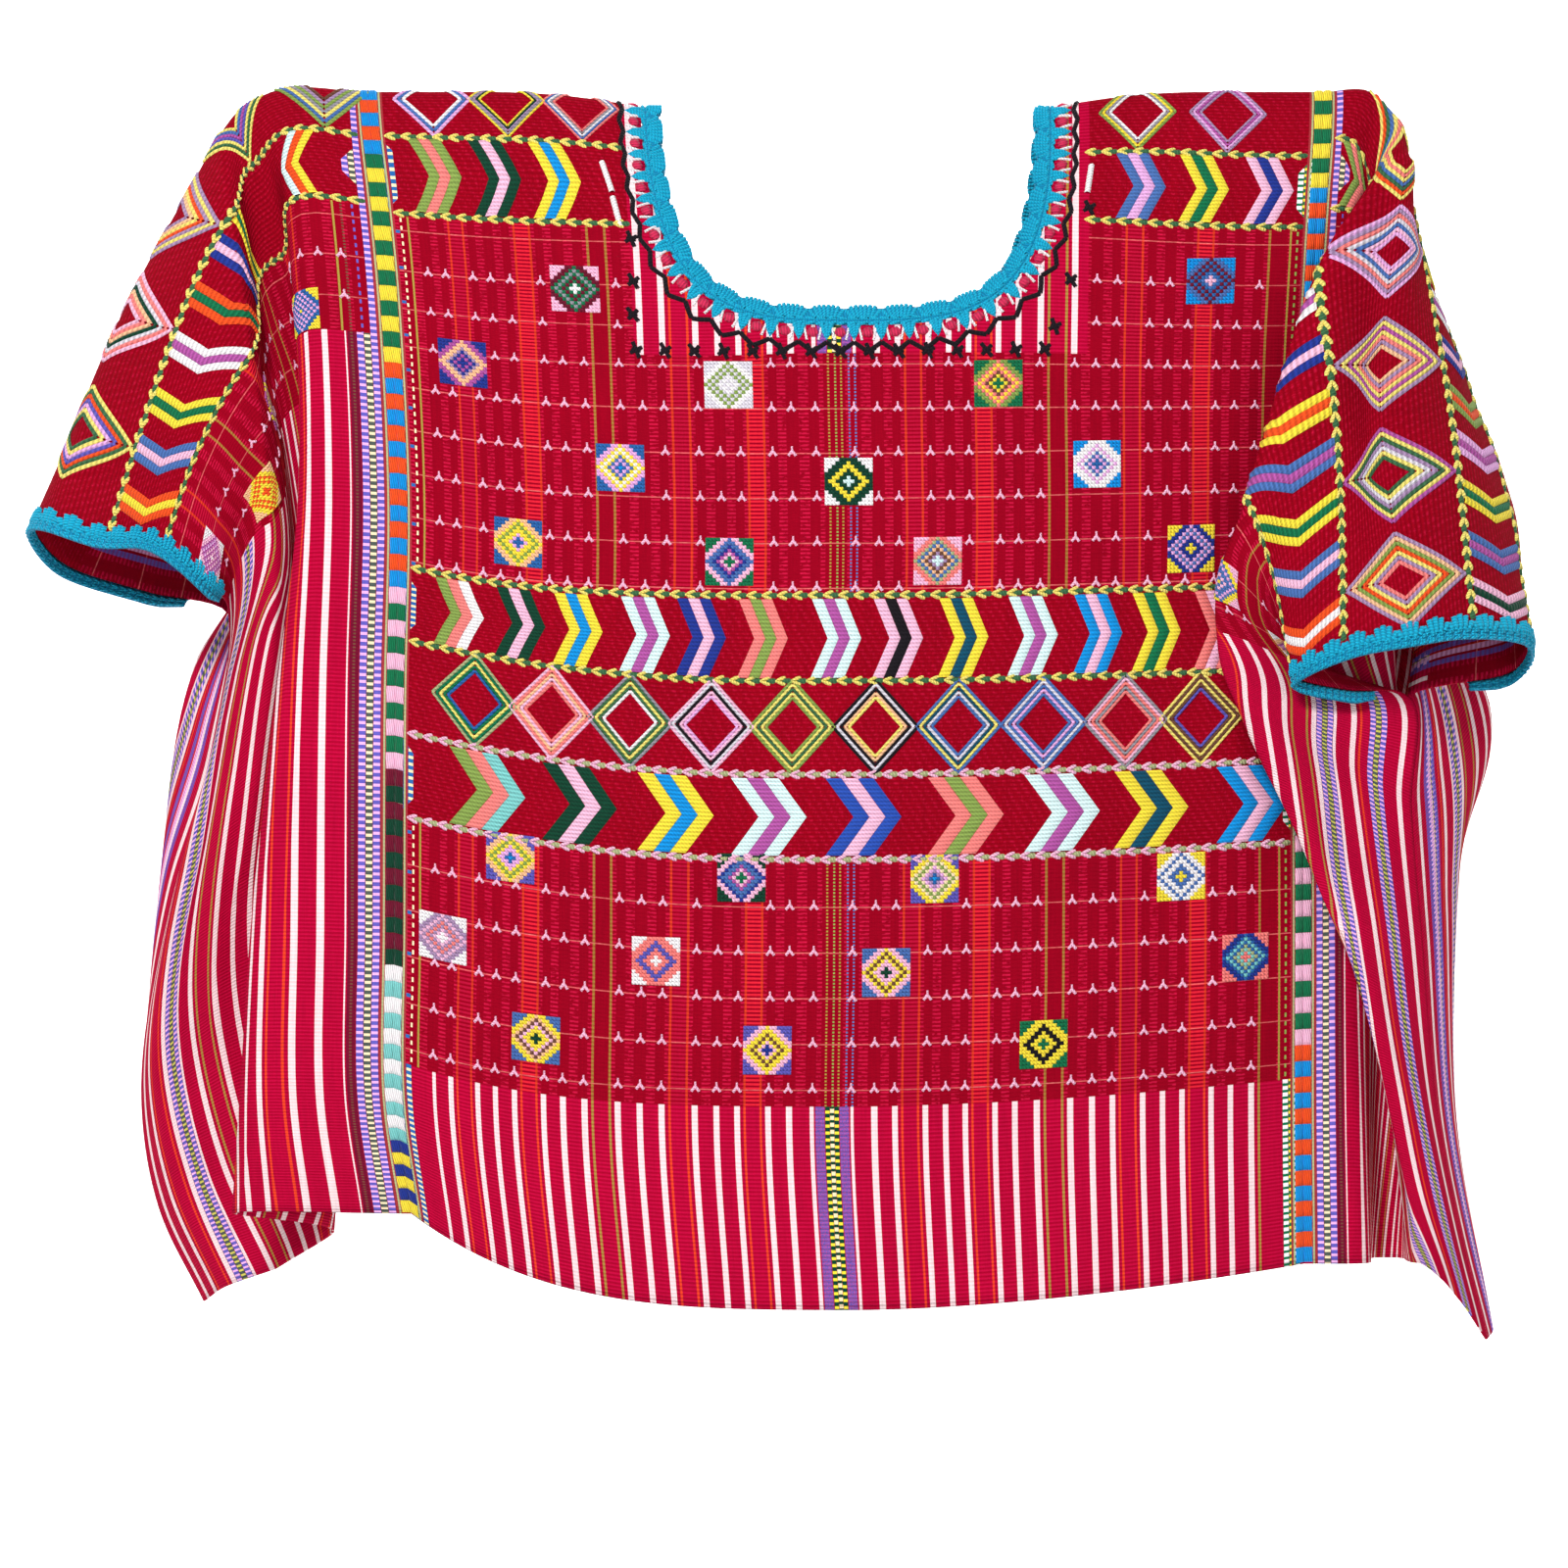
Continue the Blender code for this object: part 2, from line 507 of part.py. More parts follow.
def main():
    for item in list(bpy.data.objects):
        bpy.data.objects.remove(item, do_unlink=True)
    cloth = material("cloth", RED)
    side_finish = material("side_cloth", (RED[0] * 0.85, RED[1], RED[2] * 1.2, 1))
    crochet = material("crochet", TURQUOISE, 0.7)
    panel("centre_panel", centre_columns(), rows_along(), cloth, neck_warp, in_neck)
    panel("left_panel", side_columns(), rows_along(), side_finish, side_place("left"))
    panel("right_panel", side_columns(), rows_along(), side_finish, side_place("right"))
    randa("left_randa", -SEAM_HALF, material("randa_green", STITCH_GREEN, 0.6))
    randa("right_randa", SEAM_HALF, material("randa_blue", STITCH_BLUE, 0.6))
    neck_edging(crochet)
    cuff_edging("left_cuff_edging", "left", crochet)
    cuff_edging("right_cuff_edging", "right", crochet)


if __name__ == "__main__":
    main()
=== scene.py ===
"""A huipil blouse, worn: three lengths of warp-striped cloth with brocaded bands, two
stitched joins (randas) and crochet edges.

Cloth places are in millimetres. u runs across the garment from the left selvedge to the
right one, and v along the warp: 0 on the shoulder fold, negative down the front and
positive down the back. World axes: +X to the right seen from the front, +Y to the back,
+Z up.
"""

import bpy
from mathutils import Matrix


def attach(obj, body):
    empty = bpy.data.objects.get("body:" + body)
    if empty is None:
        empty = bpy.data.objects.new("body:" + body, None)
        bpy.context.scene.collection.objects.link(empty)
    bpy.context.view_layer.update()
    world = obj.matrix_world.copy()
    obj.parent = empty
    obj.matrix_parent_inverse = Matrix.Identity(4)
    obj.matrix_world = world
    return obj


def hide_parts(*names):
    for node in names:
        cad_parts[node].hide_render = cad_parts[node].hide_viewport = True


bl_info = {
    "name": "Huipil blouse",
    "version": (1, 0, 0),
    "blender": (4, 5, 0),
    "location": "3D View > Sidebar > Huipil",
    "description": "Weaves, brocades, joins and edges a huipil blouse",
    "category": "Mesh",
}

import bmesh
import bpy
import numpy as np
from bpy.props import FloatProperty, FloatVectorProperty, IntProperty, PointerProperty
from mathutils import Euler, Vector

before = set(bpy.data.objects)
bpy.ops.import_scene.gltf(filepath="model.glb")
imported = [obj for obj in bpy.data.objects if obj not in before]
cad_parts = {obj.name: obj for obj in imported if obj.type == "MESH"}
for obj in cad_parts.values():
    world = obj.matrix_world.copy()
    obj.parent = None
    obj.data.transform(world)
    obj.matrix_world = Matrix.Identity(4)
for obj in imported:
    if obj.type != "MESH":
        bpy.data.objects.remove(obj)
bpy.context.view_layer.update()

MM = 0.001
TAU = 2 * np.pi

# Cut of the cloth, in millimetres
CENTRE_WIDTH = 475.0
SIDE_WIDTH = 314.0
FRONT_LENGTH = 645.0
CUFF_HALF = 160.0
CUFF_TAPER = 40.0          # the edging thins over this length
CUFF_LEAST = 0.55          # and keeps this share of its width
SEAM_HALF = CENTRE_WIDTH / 2
SELVEDGE = SEAM_HALF + SIDE_WIDTH
GAP = 0.3
SEAM_STRIP = 5.5
DRAPE = 0.99
NECK_HALF_WIDTH = 103.0
NECK_DEPTH = 133.0
NECK_CENTRE = 1.0
NECK_ROUNDNESS = 3.4
NECK_BLEND = 1.8
NECK_DIP = 8.0
NECK_DIP_REACH = 75.0
NECK_DIP_DEPTH = 90.0
CUFF_INSET = 28.0

# Middle of the body, as (v, y): how far it stands forward (-) or back (+) of the
# shoulder fold at each height
BODY = (
    (-645, -95), (-470, -92), (-340, -86), (-240, -74), (-160, -58), (-110, -45),
    (-65, -31), (-25, -13), (0, 0), (25, 13), (65, 31), (110, 46), (160, 60),
    (240, 72), (340, 79), (470, 83), (645, 85),
)

# Sections across a side length, one row for each height v. In each row the cloth runs
# from the randa, out to the fold at the body's side, in to a valley, out again over an
# edge (the sleeve's or the side flap's near edge) and on to the side: the cuff's rim
# down to CUFF_HALF and the side seam below it. "lift" raises the randa above the level
# of the middle of the body. "bow" rounds the stretch from the edge to the side, and
# "sag" lowers its middle.
SECTION_COLUMNS = (
    "v", "randa_x", "randa_y", "lift", "fold_x", "valley_x", "valley_y",
    "edge_x", "edge_y", "edge_z", "side_x", "side_y", "side_z", "bow", "sag",
)
LEFT = (
    (-645, -224, -78, 48, -316, -266, -30, -300, -8, -620, -341, 26, -640, 9, 0),
    (-560, -233, -77, 26, -312, -262, -26, -316, -8, -560, -365, 26, -590, 12, 0),
    (-470, -233, -73, 19, -307, -262, -22, -330, -12, -488, -374, 24, -530, 12, 0),
    (-340, -233, -65, 17, -294, -268, -18, -309, -36, -372, -357, 12, -428, 14, 0),
    (-240, -232, -54, 16, -284, -276, -14, -298, -40, -286, -333, 2, -352, 12, 0),
    (-160, -236, -44, 13, -284, -286, -12, -299, -42, -238, -325, -5, -275, 6, 0),
    (-110, -240, -36, 10, -288, -294, -10, -304, -42, -185, -333, -40, -259, 8, 0),
    (-65, -245, -26, 6, -292, -302, -8, -312, -38, -130, -360, -47, -238, 6, 0),
    (-25, -250, -12, 2, -300, -315, -10, -324, -24, -56, -391, -32, -235, 6, 0),
    (0, -252, 0, 0, -303, -319, 0, -331, -2, -24, -419, -14, -226, 8, 0),
    (25, -251, 11, 2, -298, -313, 10, -329, 14, -45, -430, 8, -227, 7, 0),
    (65, -248, 26, 5, -288, -303, 18, -326, 28, -84, -418, 39, -247, 7, 0),
    (110, -244, 39, 7, -284, -299, 28, -330, 42, -138, -374, 46, -262, 10, 0),
    (160, -240, 50, 8, -281, -295, 37, -312, 42, -222, -325, -5, -275, 0, 0),
    (240, -238, 60, 8, -280, -298, 39, -347, 38, -302, -333, 2, -352, 8, 0),
    (340, -236, 66, 8, -283, -303, 40, -360, 34, -388, -357, 12, -428, 7, 0),
    (470, -235, 70, 14, -287, -302, 44, -356, 52, -512, -374, 24, -530, 6, 0),
    (645, -233, 73, 54, -288, -298, 50, -322, 60, -628, -341, 26, -640, 7, 0),
)
RIGHT = (
    (-645, 236, -63, 21, 268, 282, -24, 296, -66, -612, 332, -50, -653, 5, 0),
    (-560, 236, -56, 14, 266, 286, -28, 288, -72, -575, 318, -54, -600, 6, 0),
    (-470, 237, -47, 10, 264, 289, -34, 275, -74, -515, 306, -56, -540, 5, 0),
    (-340, 238, -34, 8, 263, 289, -30, 240, -71, -412, 298, -54, -445, 5, 0),
    (-240, 240, -24, 8, 262, 287, -22, 205, -65, -332, 293, -50, -376, 4, 2),
    (-160, 242, -22, 7, 262, 286, -19, 192, -63, -292, 292, -46, -319, 2, 4),
    (-110, 245, -20, 6, 262, 284, -18, 193, -65, -256, 257, -61, -316, 2, 0),
    (-65, 248, -16, 4, 263, 282, -17, 211, -65, -202, 230, -75, -308, 4, 0),
    (-25, 251, -9, 1, 266, 280, -11, 254, -42, -80, 262, -84, -293, 2, 0),
    (0, 252, 0, 0, 277, 290, -3, 294, -17, -38, 289, -85, -288, -15, 0),
    (25, 251, 11, 1, 273, 286, 8, 297, -5, -54, 315, -76, -284, 2, 0),
    (65, 248, 26, 4, 269, 287, 18, 307, 10, -94, 354, -42, -287, 12, 0),
    (110, 245, 39, 6, 266, 289, 27, 325, 22, -150, 350, -12, -306, 19, 0),
    (160, 242, 50, 7, 265, 289, 34, 308, 24, -244, 292, -46, -319, 2, 0),
    (240, 240, 60, 8, 264, 290, 36, 342, 22, -322, 293, -50, -376, 6, 0),
    (340, 238, 66, 8, 264, 290, 36, 327, 10, -404, 298, -54, -445, 8, 0),
    (470, 237, 70, 14, 265, 290, 36, 321, 4, -522, 306, -56, -540, 6, 0),
    (645, 236, 73, 54, 268, 290, 36, 338, -12, -646, 332, -50, -653, 4, 0),
)
LIFT_POWER = {"left": 3.5, "right": 1.6}
SLEEVE_AXIS = {"left": (-0.455, -0.02, -0.89), "right": (0.03, -0.12, -0.992)}
FOLD_ROUNDING = 3.0       # how far the fold turns back behind the randa's depth
VALLEY_SHARE = 0.35       # height of the valley between the body and the edge
SHOULDER_ROUNDING = 5.0   # radius of the bend over the shoulder fold
SHOULDER_DEPTH = 20.0     # the fold's rounding grows to its full size over this depth
CREST_ROUNDING = (3.5, 1.8)     # reach and half the room inside the crest of an edge
VALLEY_ROUNDING = (3.0, 1.8)    # the same for the bottom of the valley
SIDE_TURN = 60.0          # the side faces straight out within this far of the fold
NORMAL_STEP = 0.6         # of cloth, over which a surface normal is measured
KNOTS = 9                 # randa, fold, valley (2), crest (3), middle, side


def hermite(stations, values, at):
    """Read a smooth curve through values (one row a station) at the places in at."""
    stations, values = np.asarray(stations, float), np.asarray(values, float)
    slopes = np.gradient(values, stations, axis=0)
    i = np.clip(np.searchsorted(stations, at) - 1, 0, len(stations) - 2)
    step = stations[i + 1] - stations[i]
    t = np.clip((at - stations[i]) / step, 0, 1)[:, None]
    step = step[:, None]
    return ((2 * t**3 - 3 * t**2 + 1) * values[i] + (t**3 - 2 * t**2 + t) * step * slopes[i]
            + (3 * t**2 - 2 * t**3) * values[i + 1] + (t**3 - t**2) * step * slopes[i + 1])


def unit(vectors):
    return vectors / np.maximum(np.linalg.norm(vectors, axis=1), 1e-9)[:, None]


def section_at(side, v):
    """Return the named numbers of a side length's sections at the heights v."""
    table = np.array(LEFT if side == "left" else RIGHT, float)
    read = hermite(table[:, 0], table[:, 1:], v)
    return {name: read[:, i] for i, name in enumerate(SECTION_COLUMNS[1:])}


def centre_points(u, v):
    """Return world points of the centre length, in millimetres."""
    t = np.clip(u / SEAM_HALF, -1, 1)
    left, right = section_at("left", v), section_at("right", v)
    body_y = hermite([row[0] for row in BODY], [[row[1]] for row in BODY], v)[:, 0]
    x = (left["randa_x"] * (1 - t) + right["randa_x"] * (1 + t)) / 2
    y = body_y * (1 - t**2) + np.where(t < 0, left["randa_y"], right["randa_y"]) * t**2
    lift = np.where(t < 0, left["lift"] * np.abs(t) ** LIFT_POWER["left"],
                    right["lift"] * np.abs(t) ** LIFT_POWER["right"])
    beside = np.clip((np.abs(u - NECK_CENTRE) - NECK_HALF_WIDTH) / NECK_DIP_REACH, 0, 1)
    near = np.clip(1 - np.abs(v) / NECK_DIP_DEPTH, 0, 1)
    dip = NECK_DIP * (1 - beside) ** 2 * near * near * (3 - 2 * near)
    z = shoulder_drop(v) + lift - dip
    return np.stack([x, y, z], axis=1)


def shoulder_drop(v):
    """Return how low the middle of the cloth hangs, with a rounded shoulder fold."""
    return -DRAPE * (np.sqrt(v**2 + SHOULDER_ROUNDING**2) - SHOULDER_ROUNDING)


def rounded(before, corner, after, rounding):
    """Return the two points that turn a sharp corner into a soft fold."""
    radius, room = rounding
    level = np.array([1.0, 1.0, 0.0])
    into, onward = unit((before - corner) * level), unit((after - corner) * level)
    spread = unit(onward - into) * room * (1 + (into * onward).sum(axis=1)[:, None])
    return (corner + unit(before - corner) * radius - spread,
            corner + unit(after - corner) * radius + spread)


def side_knots(side, v):
    """Return the points that a side length's sections run through, with their places.

    The places are given twice: along the section itself, and in cloth measured out from
    the randa. The stretches that show keep their real length, so the hidden valley
    takes up the rest of the cloth.
    """
    s = section_at(side, v)
    seam = section_at(side, -np.abs(v))
    sewn = np.abs(v) >= CUFF_HALF
    sign = -1.0 if side == "left" else 1.0
    drop = shoulder_drop(v) + s["lift"]
    front = np.clip(s["randa_y"] / SHOULDER_DEPTH, -1, 1)
    randa = np.stack([s["randa_x"], s["randa_y"], drop], 1)
    fold = np.stack([s["fold_x"], s["randa_y"] - front * FOLD_ROUNDING, drop], 1)
    valley_z = drop * (1 - VALLEY_SHARE) + s["edge_z"] * VALLEY_SHARE
    valley = np.stack([s["valley_x"], s["valley_y"], valley_z], 1)
    edge = np.stack([s["edge_x"], s["edge_y"], s["edge_z"]], 1)
    rim = np.stack([np.where(sewn, seam[n], s[n]) for n in ("side_x", "side_y", "side_z")], 1)
    out = np.stack([sign * np.ones_like(v), np.clip(v / SIDE_TURN, -1, 1), np.zeros_like(v)], 1)
    out = unit(out)
    middle = (edge + rim) / 2 + out * s["bow"][:, None]
    middle[:, 2] -= s["sag"]
    sunk, risen = rounded(fold, valley, edge, VALLEY_ROUNDING)
    before, after = rounded(valley, edge, middle, CREST_ROUNDING)
    knots = np.stack([randa, fold, sunk, risen, before, edge, after, middle, rim], axis=1)
    chords = np.linalg.norm(np.diff(knots, axis=1), axis=2)
    along = np.concatenate([np.zeros((len(v), 1)), np.cumsum(chords, axis=1)], axis=1)
    cloth = along.copy()
    cloth[:, 4:] = SIDE_WIDTH - (along[:, -1:] - along[:, 4:])
    for hidden in (2, 3):
        share = (along[:, hidden] - along[:, 1]) / (along[:, 4] - along[:, 1])
        cloth[:, hidden] = cloth[:, 1] + share * (cloth[:, 4] - cloth[:, 1])
    return knots, along, cloth


def side_cloth(side, places, v):
    """Return cloth measures, out from the randa, at places counted in knots."""
    cloth = side_knots(side, v)[2]
    i = np.clip(places.astype(int), 0, KNOTS - 2)
    rows = np.arange(len(v))
    return cloth[rows, i] + (places - i) * (cloth[rows, i + 1] - cloth[rows, i])


def side_points(side, u, v):
    """Return world points of a side length, u measured out from its randa."""
    knots, along, cloth = side_knots(side, v)
    steps = np.diff(along, axis=1)
    flow = np.diff(knots, axis=1) / steps[:, :, None]
    slopes = np.empty_like(knots)
    slopes[:, 0], slopes[:, -1] = flow[:, 0], flow[:, -1]
    before, after = steps[:, :-1, None], steps[:, 1:, None]
    slopes[:, 1:-1] = (flow[:, :-1] * after + flow[:, 1:] * before) / (before + after)
    i = np.clip((u[:, None] > cloth).sum(axis=1) - 1, 0, KNOTS - 2)
    rows = np.arange(len(v))
    span = cloth[rows, i + 1] - cloth[rows, i]
    t = np.clip((u - cloth[rows, i]) / span, 0, 1)[:, None]
    step = steps[rows, i][:, None]
    return ((2 * t**3 - 3 * t**2 + 1) * knots[rows, i]
            + (t**3 - 2 * t**2 + t) * step * slopes[rows, i]
            + (3 * t**2 - 2 * t**3) * knots[rows, i + 1]
            + (t**3 - t**2) * step * slopes[rows, i + 1])


def cloth_points(u, v):
    """Return world points, in millimetres, of the whole blouse's middle surface."""
    u, v = np.atleast_1d(np.asarray(u, float)), np.atleast_1d(np.asarray(v, float))
    points = centre_points(u, v)
    for side, there in (("left", u < -SEAM_HALF), ("right", u > SEAM_HALF)):
        if there.any():
            points[there] = side_points(side, np.abs(u[there]) - SEAM_HALF, v[there])
    return points


def cloth_normals(u, v):
    """Return unit normals that point out of the blouse."""
    u, v = np.atleast_1d(np.asarray(u, float)), np.atleast_1d(np.asarray(v, float))
    low = np.maximum(u - NORMAL_STEP, -SELVEDGE)
    high = np.minimum(u + NORMAL_STEP, SELVEDGE)
    across = cloth_points(high, v) - cloth_points(low, v)
    along = cloth_points(u, v + NORMAL_STEP) - cloth_points(u, v - NORMAL_STEP)
    normal = np.cross(along, across)
    return -normal / np.linalg.norm(normal, axis=1)[:, None]


def wall_offsets(u, v):
    """Return normals for a wall's faces, mitred where front and back meet at the side."""
    normal = cloth_normals(u, v)
    seam = (np.abs(u) > SELVEDGE - 1) & (np.abs(v) >= CUFF_HALF - 0.5)
    if seam.any():
        mean = normal[seam] + cloth_normals(u[seam], -v[seam])
        normal[seam] = mean / np.linalg.norm(mean, axis=1)[:, None]
    return normal


def neck_warp(u, v):
    """Round a square hole in the grid into the neck hole's curve."""
    du = u - NECK_CENTRE
    square = np.maximum(np.abs(du) / NECK_HALF_WIDTH, np.abs(v) / NECK_DEPTH)
    square = np.maximum(square, 1e-6)
    au, av = np.abs(du) / square / NECK_HALF_WIDTH, np.abs(v) / square / NECK_DEPTH
    pull = (au**NECK_ROUNDNESS + av**NECK_ROUNDNESS) ** (-1 / NECK_ROUNDNESS)
    share = np.clip((square - 1) / (NECK_BLEND - 1), 0, 1)
    share = share * share * (3 - 2 * share)
    scale = pull + (1 - pull) * share
    return NECK_CENTRE + du * scale, v * scale


def side_place(side):
    """Return the rule that turns a side length's columns, counted in knots, into cloth."""
    def place(column, v):
        first = side_cloth(side, np.ones_like(column), v)
        out = SEAM_STRIP + (first - SEAM_STRIP) * np.clip(column, 0, 1)
        out = np.where(column == 0, 0, out)
        out = np.where(column > 1, side_cloth(side, column, v), out)
        out = np.clip(out, GAP / 2, SIDE_WIDTH - GAP) + SEAM_HALF
        return (-out if side == "left" else out), v
    return place

# Soft creases pressed into the cloth: (from u, from v, to u, to v, half width,
# height), troughs below zero
CREASES = (
    (-500, -250, -512, -640, 12, -6.5), (-478, -300, -480, -645, 8, 3.5),
    (500, -250, 492, -640, 11, -4.5), (-170, -180, -150, -640, 20, -1.6),
    (-118, -300, -96, -645, 16, 1.3),
    (-60, -150, -44, -520, 24, -1.2), (-12, -170, 4, -640, 13, 0.9),
    (58, -210, 40, -645, 19, -1.4), (112, -150, 128, -430, 17, 1.1),
    (150, -380, 168, -645, 20, -1.7), (205, -240, 196, -560, 12, 1.2),
    (-205, -300, -214, -640, 11, 1.4), (20, -470, -30, -645, 15, -1.1),
    (-150, 90, -120, 620, 22, -1.7), (-70, 160, -88, 645, 18, 1.4),
    (10, 150, -10, 600, 20, -1.3), (78, 180, 96, 645, 16, 1.5),
    (160, 100, 140, 560, 22, -1.8), (200, 250, 212, 645, 13, 1.2),
    (-205, 300, -196, 640, 12, 1.3), (40, 420, 58, 645, 14, 1.0),
    (-500, -20, -380, -140, 13, -1.5), (-470, -90, -395, -190, 12, 1.3),
    (-440, 60, -360, 180, 14, -1.6), (-500, 90, -420, 40, 11, 1.1),
    (500, -30, 420, -120, 12, -1.4), (470, -70, 380, -20, 13, 1.2),
    (440, 30, 380, 150, 13, -1.5), (505, 60, 440, 130, 12, 1.2),
    (-470, -260, -455, -640, 18, -1.9), (-425, -220, -405, -560, 13, 1.5),
    (-515, -330, -505, -600, 11, 1.2), (-480, 230, -462, 640, 17, -1.8),
    (-430, 300, -418, 620, 13, 1.4), (470, -240, 452, -620, 16, -1.8),
    (425, -330, 412, -640, 12, 1.5), (508, -300, 500, -560, 11, 1.1),
    (478, 220, 464, 600, 16, -1.9), (425, 260, 418, 640, 13, 1.4),
)
CREASE_EDGE = 14.0        # creases die away this close to a seam or an edge

# Mesh divisions
ROW_STEP = 6.5
NECK_ROWS = 21
STEPS_BETWEEN_KNOTS = (5, 9, 5, 9, 3, 3, 14, 20)
STEPS_ACROSS_NECK = 34
STEPS_BESIDE_NECK = 17

# Warp: the middles of the white triples on the centre length, the repeat that the
# shader counts in, and the first triple of a side length, measured out from the randa
TRIPLES = (-216, -183.9, -149, -108.7, -69, -31.8, 12.7, 49.5, 85.2, 125.7, 163.2, 198.5)
REPEAT = 39.3
SIDE_TRIPLE = 31.3

# Brocaded bands, as heights down the cloth, the same front and back
SLIP = 10.0               # the pattern stands this far forward at the right shoulder
LEFT_SLIP = 5.5           # and this far at the left one, below the first braid
LEFT_RISE = 6.0           # the front's lower bands stand this much higher at the left
CLOTH_TOP = 0.6           # sewn work lies this far above the middle of the cloth
SIDE_BRAIDS = (32, 73)
CENTRE_BRAIDS = (32, 73, 275.5, 320, 368.5, 412.5)
FIELDS = ((75, 275), (413, 540))
SIDE_FIELD = (75, 150)
TICK_START = 11.2         # the first row of ticks
NECK_PLAIN = (-112, 121, 148)      # left, right and depth of the plain square

YARN_CODES = {
    "yellow": "F4DC3E", "green": "0F7048", "dark_green": "0A3F2C", "olive": "86A04E",
    "gold": "A08C3C", "sky": "0E8FDC", "navy": "22358E", "slate": "4A6FB0",
    "lilac": "E6ABE0", "salmon": "F4807C", "purple": "B053A0", "mauve": "A88AB0",
    "pale": "D6F1F2", "orange": "F0501E", "black": "18131A", "white": "F3EEF0",
    "pink": "F4B9D6", "teal": "7CC9C6", "peach": "F5BE92", "grey": "96929C",
    "maroon": "6E0F2C", "turquoise": "16A8CC", "brown": "6E4636",
    "crimson": "B4041F", "violet": "5F58B4", "blue": "2A64A8", "brick": "9C3238",
    "pale_olive": "A9B080", "yellow_green": "C9C25A",
    "lagoon": "0E86AE", "cream": "F3DDB4",
    "moss": "4C5650", "rose": "CC2C54", "silver": "DCD6E0",
    "leaf": "3C6A46", "straw": "F0DE74",
    "teal_blue": "0E4C66", "royal": "2A4FB0",
}


def yarn(code):
    """Turn a six-figure colour code into linear light."""
    parts = [int(code[i:i + 2], 16) / 255 for i in (0, 2, 4)]
    return tuple(c / 12.92 if c <= 0.04045 else ((c + 0.055) / 1.055) ** 2.4 for c in parts)


YARN = {name: yarn(code) for name, code in YARN_CODES.items()}


# ---------------------------------------------------------------- cloth and its places

def smooth(t):
    t = np.clip(t, 0, 1)
    return t * t * (3 - 2 * t)


def crease_height(u, v):
    """Return how far the creases lift the cloth, in millimetres."""
    total = np.zeros_like(u)
    for u0, v0, u1, v1, width, height in CREASES:
        length = np.hypot(u1 - u0, v1 - v0)
        du, dv = (u1 - u0) / length, (v1 - v0) / length
        along = ((u - u0) * du + (v - v0) * dv) / length
        across = (v - v0) * du - (u - u0) * dv
        ends = smooth(along * 4) * smooth((1 - along) * 4)
        total += height * np.exp(-(across / width) ** 2) * ends
    total *= smooth(np.abs(np.abs(u) - SEAM_HALF) / CREASE_EDGE)
    return total * smooth((SELVEDGE - np.abs(u)) / CREASE_EDGE)


def slip(u, v):
    """Return how far the pattern has slipped forward on the centre length."""
    down = np.abs(v)
    right = SLIP * smooth((u - 40) / 190) * smooth((230 - down) / 150)
    left = LEFT_SLIP * smooth((-u - 20) / 60) * smooth((down - 40) / 25) * smooth(
        (170 - down) / 60)
    rise = LEFT_RISE * smooth((-u - 40) / 190) * smooth((down - 280) / 35) * smooth(
        (560 - down) / 130)
    front = (v < 0).astype(float)
    return (right + (left - rise) * front) * (np.abs(u) < SEAM_HALF)


def on_cloth(u, v, height):
    """Return world points in metres, height above the middle of the cloth."""
    rise = (crease_height(u, v) + height)[:, None]
    return (cloth_points(u, v) + wall_offsets(u, v) * rise) * MM


def on_pattern(u, v, height):
    """Return places of sewn work counted on the slipped pattern."""
    return on_cloth(u, v - slip(u, v), height + CLOTH_TOP)


def on_top(u, v, height):
    """Return places of sewn work counted on the cloth itself."""
    return on_cloth(u, v, height + CLOTH_TOP)


def stripe_phase(u):
    """Return the warp's repeat coordinate, whose triples stand at whole repeats."""
    middles = np.array(TRIPLES)
    counts = np.arange(len(middles)) * REPEAT
    inner = np.interp(u, middles, counts)
    inner = np.where(u < middles[0], u - middles[0], inner)
    inner = np.where(u > middles[-1], counts[-1] + u - middles[-1], inner)
    return np.where(np.abs(u) > SEAM_HALF, np.abs(u) - SEAM_HALF - SIDE_TRIPLE, inner)


def add_vectors(mesh, name, values, kind="FLOAT_VECTOR"):
    """Store one value a vertex as an attribute that the materials read."""
    layer = mesh.attributes.new(name, kind, "POINT")
    key = "color" if kind == "FLOAT_COLOR" else "vector"
    layer.data.foreach_set(key, np.asarray(values, np.float32).ravel())


def vertex_array(mesh):
    flat = np.empty(len(mesh.vertices) * 3, np.float32)
    mesh.vertices.foreach_get("co", flat)
    return flat.reshape(-1, 3).astype(float)


def finish_piece(name, mesh, finish, nodes):
    """Link a mesh as a piece that rides on the blouse and stands for its CAD nodes."""
    mesh.update()
    mesh.shade_smooth()
    mesh.materials.append(finish)
    made = bpy.data.objects.new(name, mesh)
    bpy.context.scene.collection.objects.link(made)
    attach(made, "root")
    if nodes:
        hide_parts(*nodes)
    return made


def face_outwards(mesh):
    bm = bmesh.new()
    bm.from_mesh(mesh)
    bmesh.ops.recalc_face_normals(bm, faces=bm.faces)
    bm.to_mesh(mesh)
    bm.free()


def cloth_rows():
    """Return the heights of the mesh rows, closer together over the shoulder."""
    neck = NECK_DEPTH * np.linspace(0, 1, NECK_ROWS) ** 1.25
    count = int((FRONT_LENGTH - NECK_DEPTH) / ROW_STEP)
    body = np.linspace(NECK_DEPTH, FRONT_LENGTH, count)
    back = np.concatenate([neck, body[1:]])
    back[np.argmin(np.abs(back - CUFF_HALF))] = CUFF_HALF
    return np.concatenate([-back[:0:-1], back])


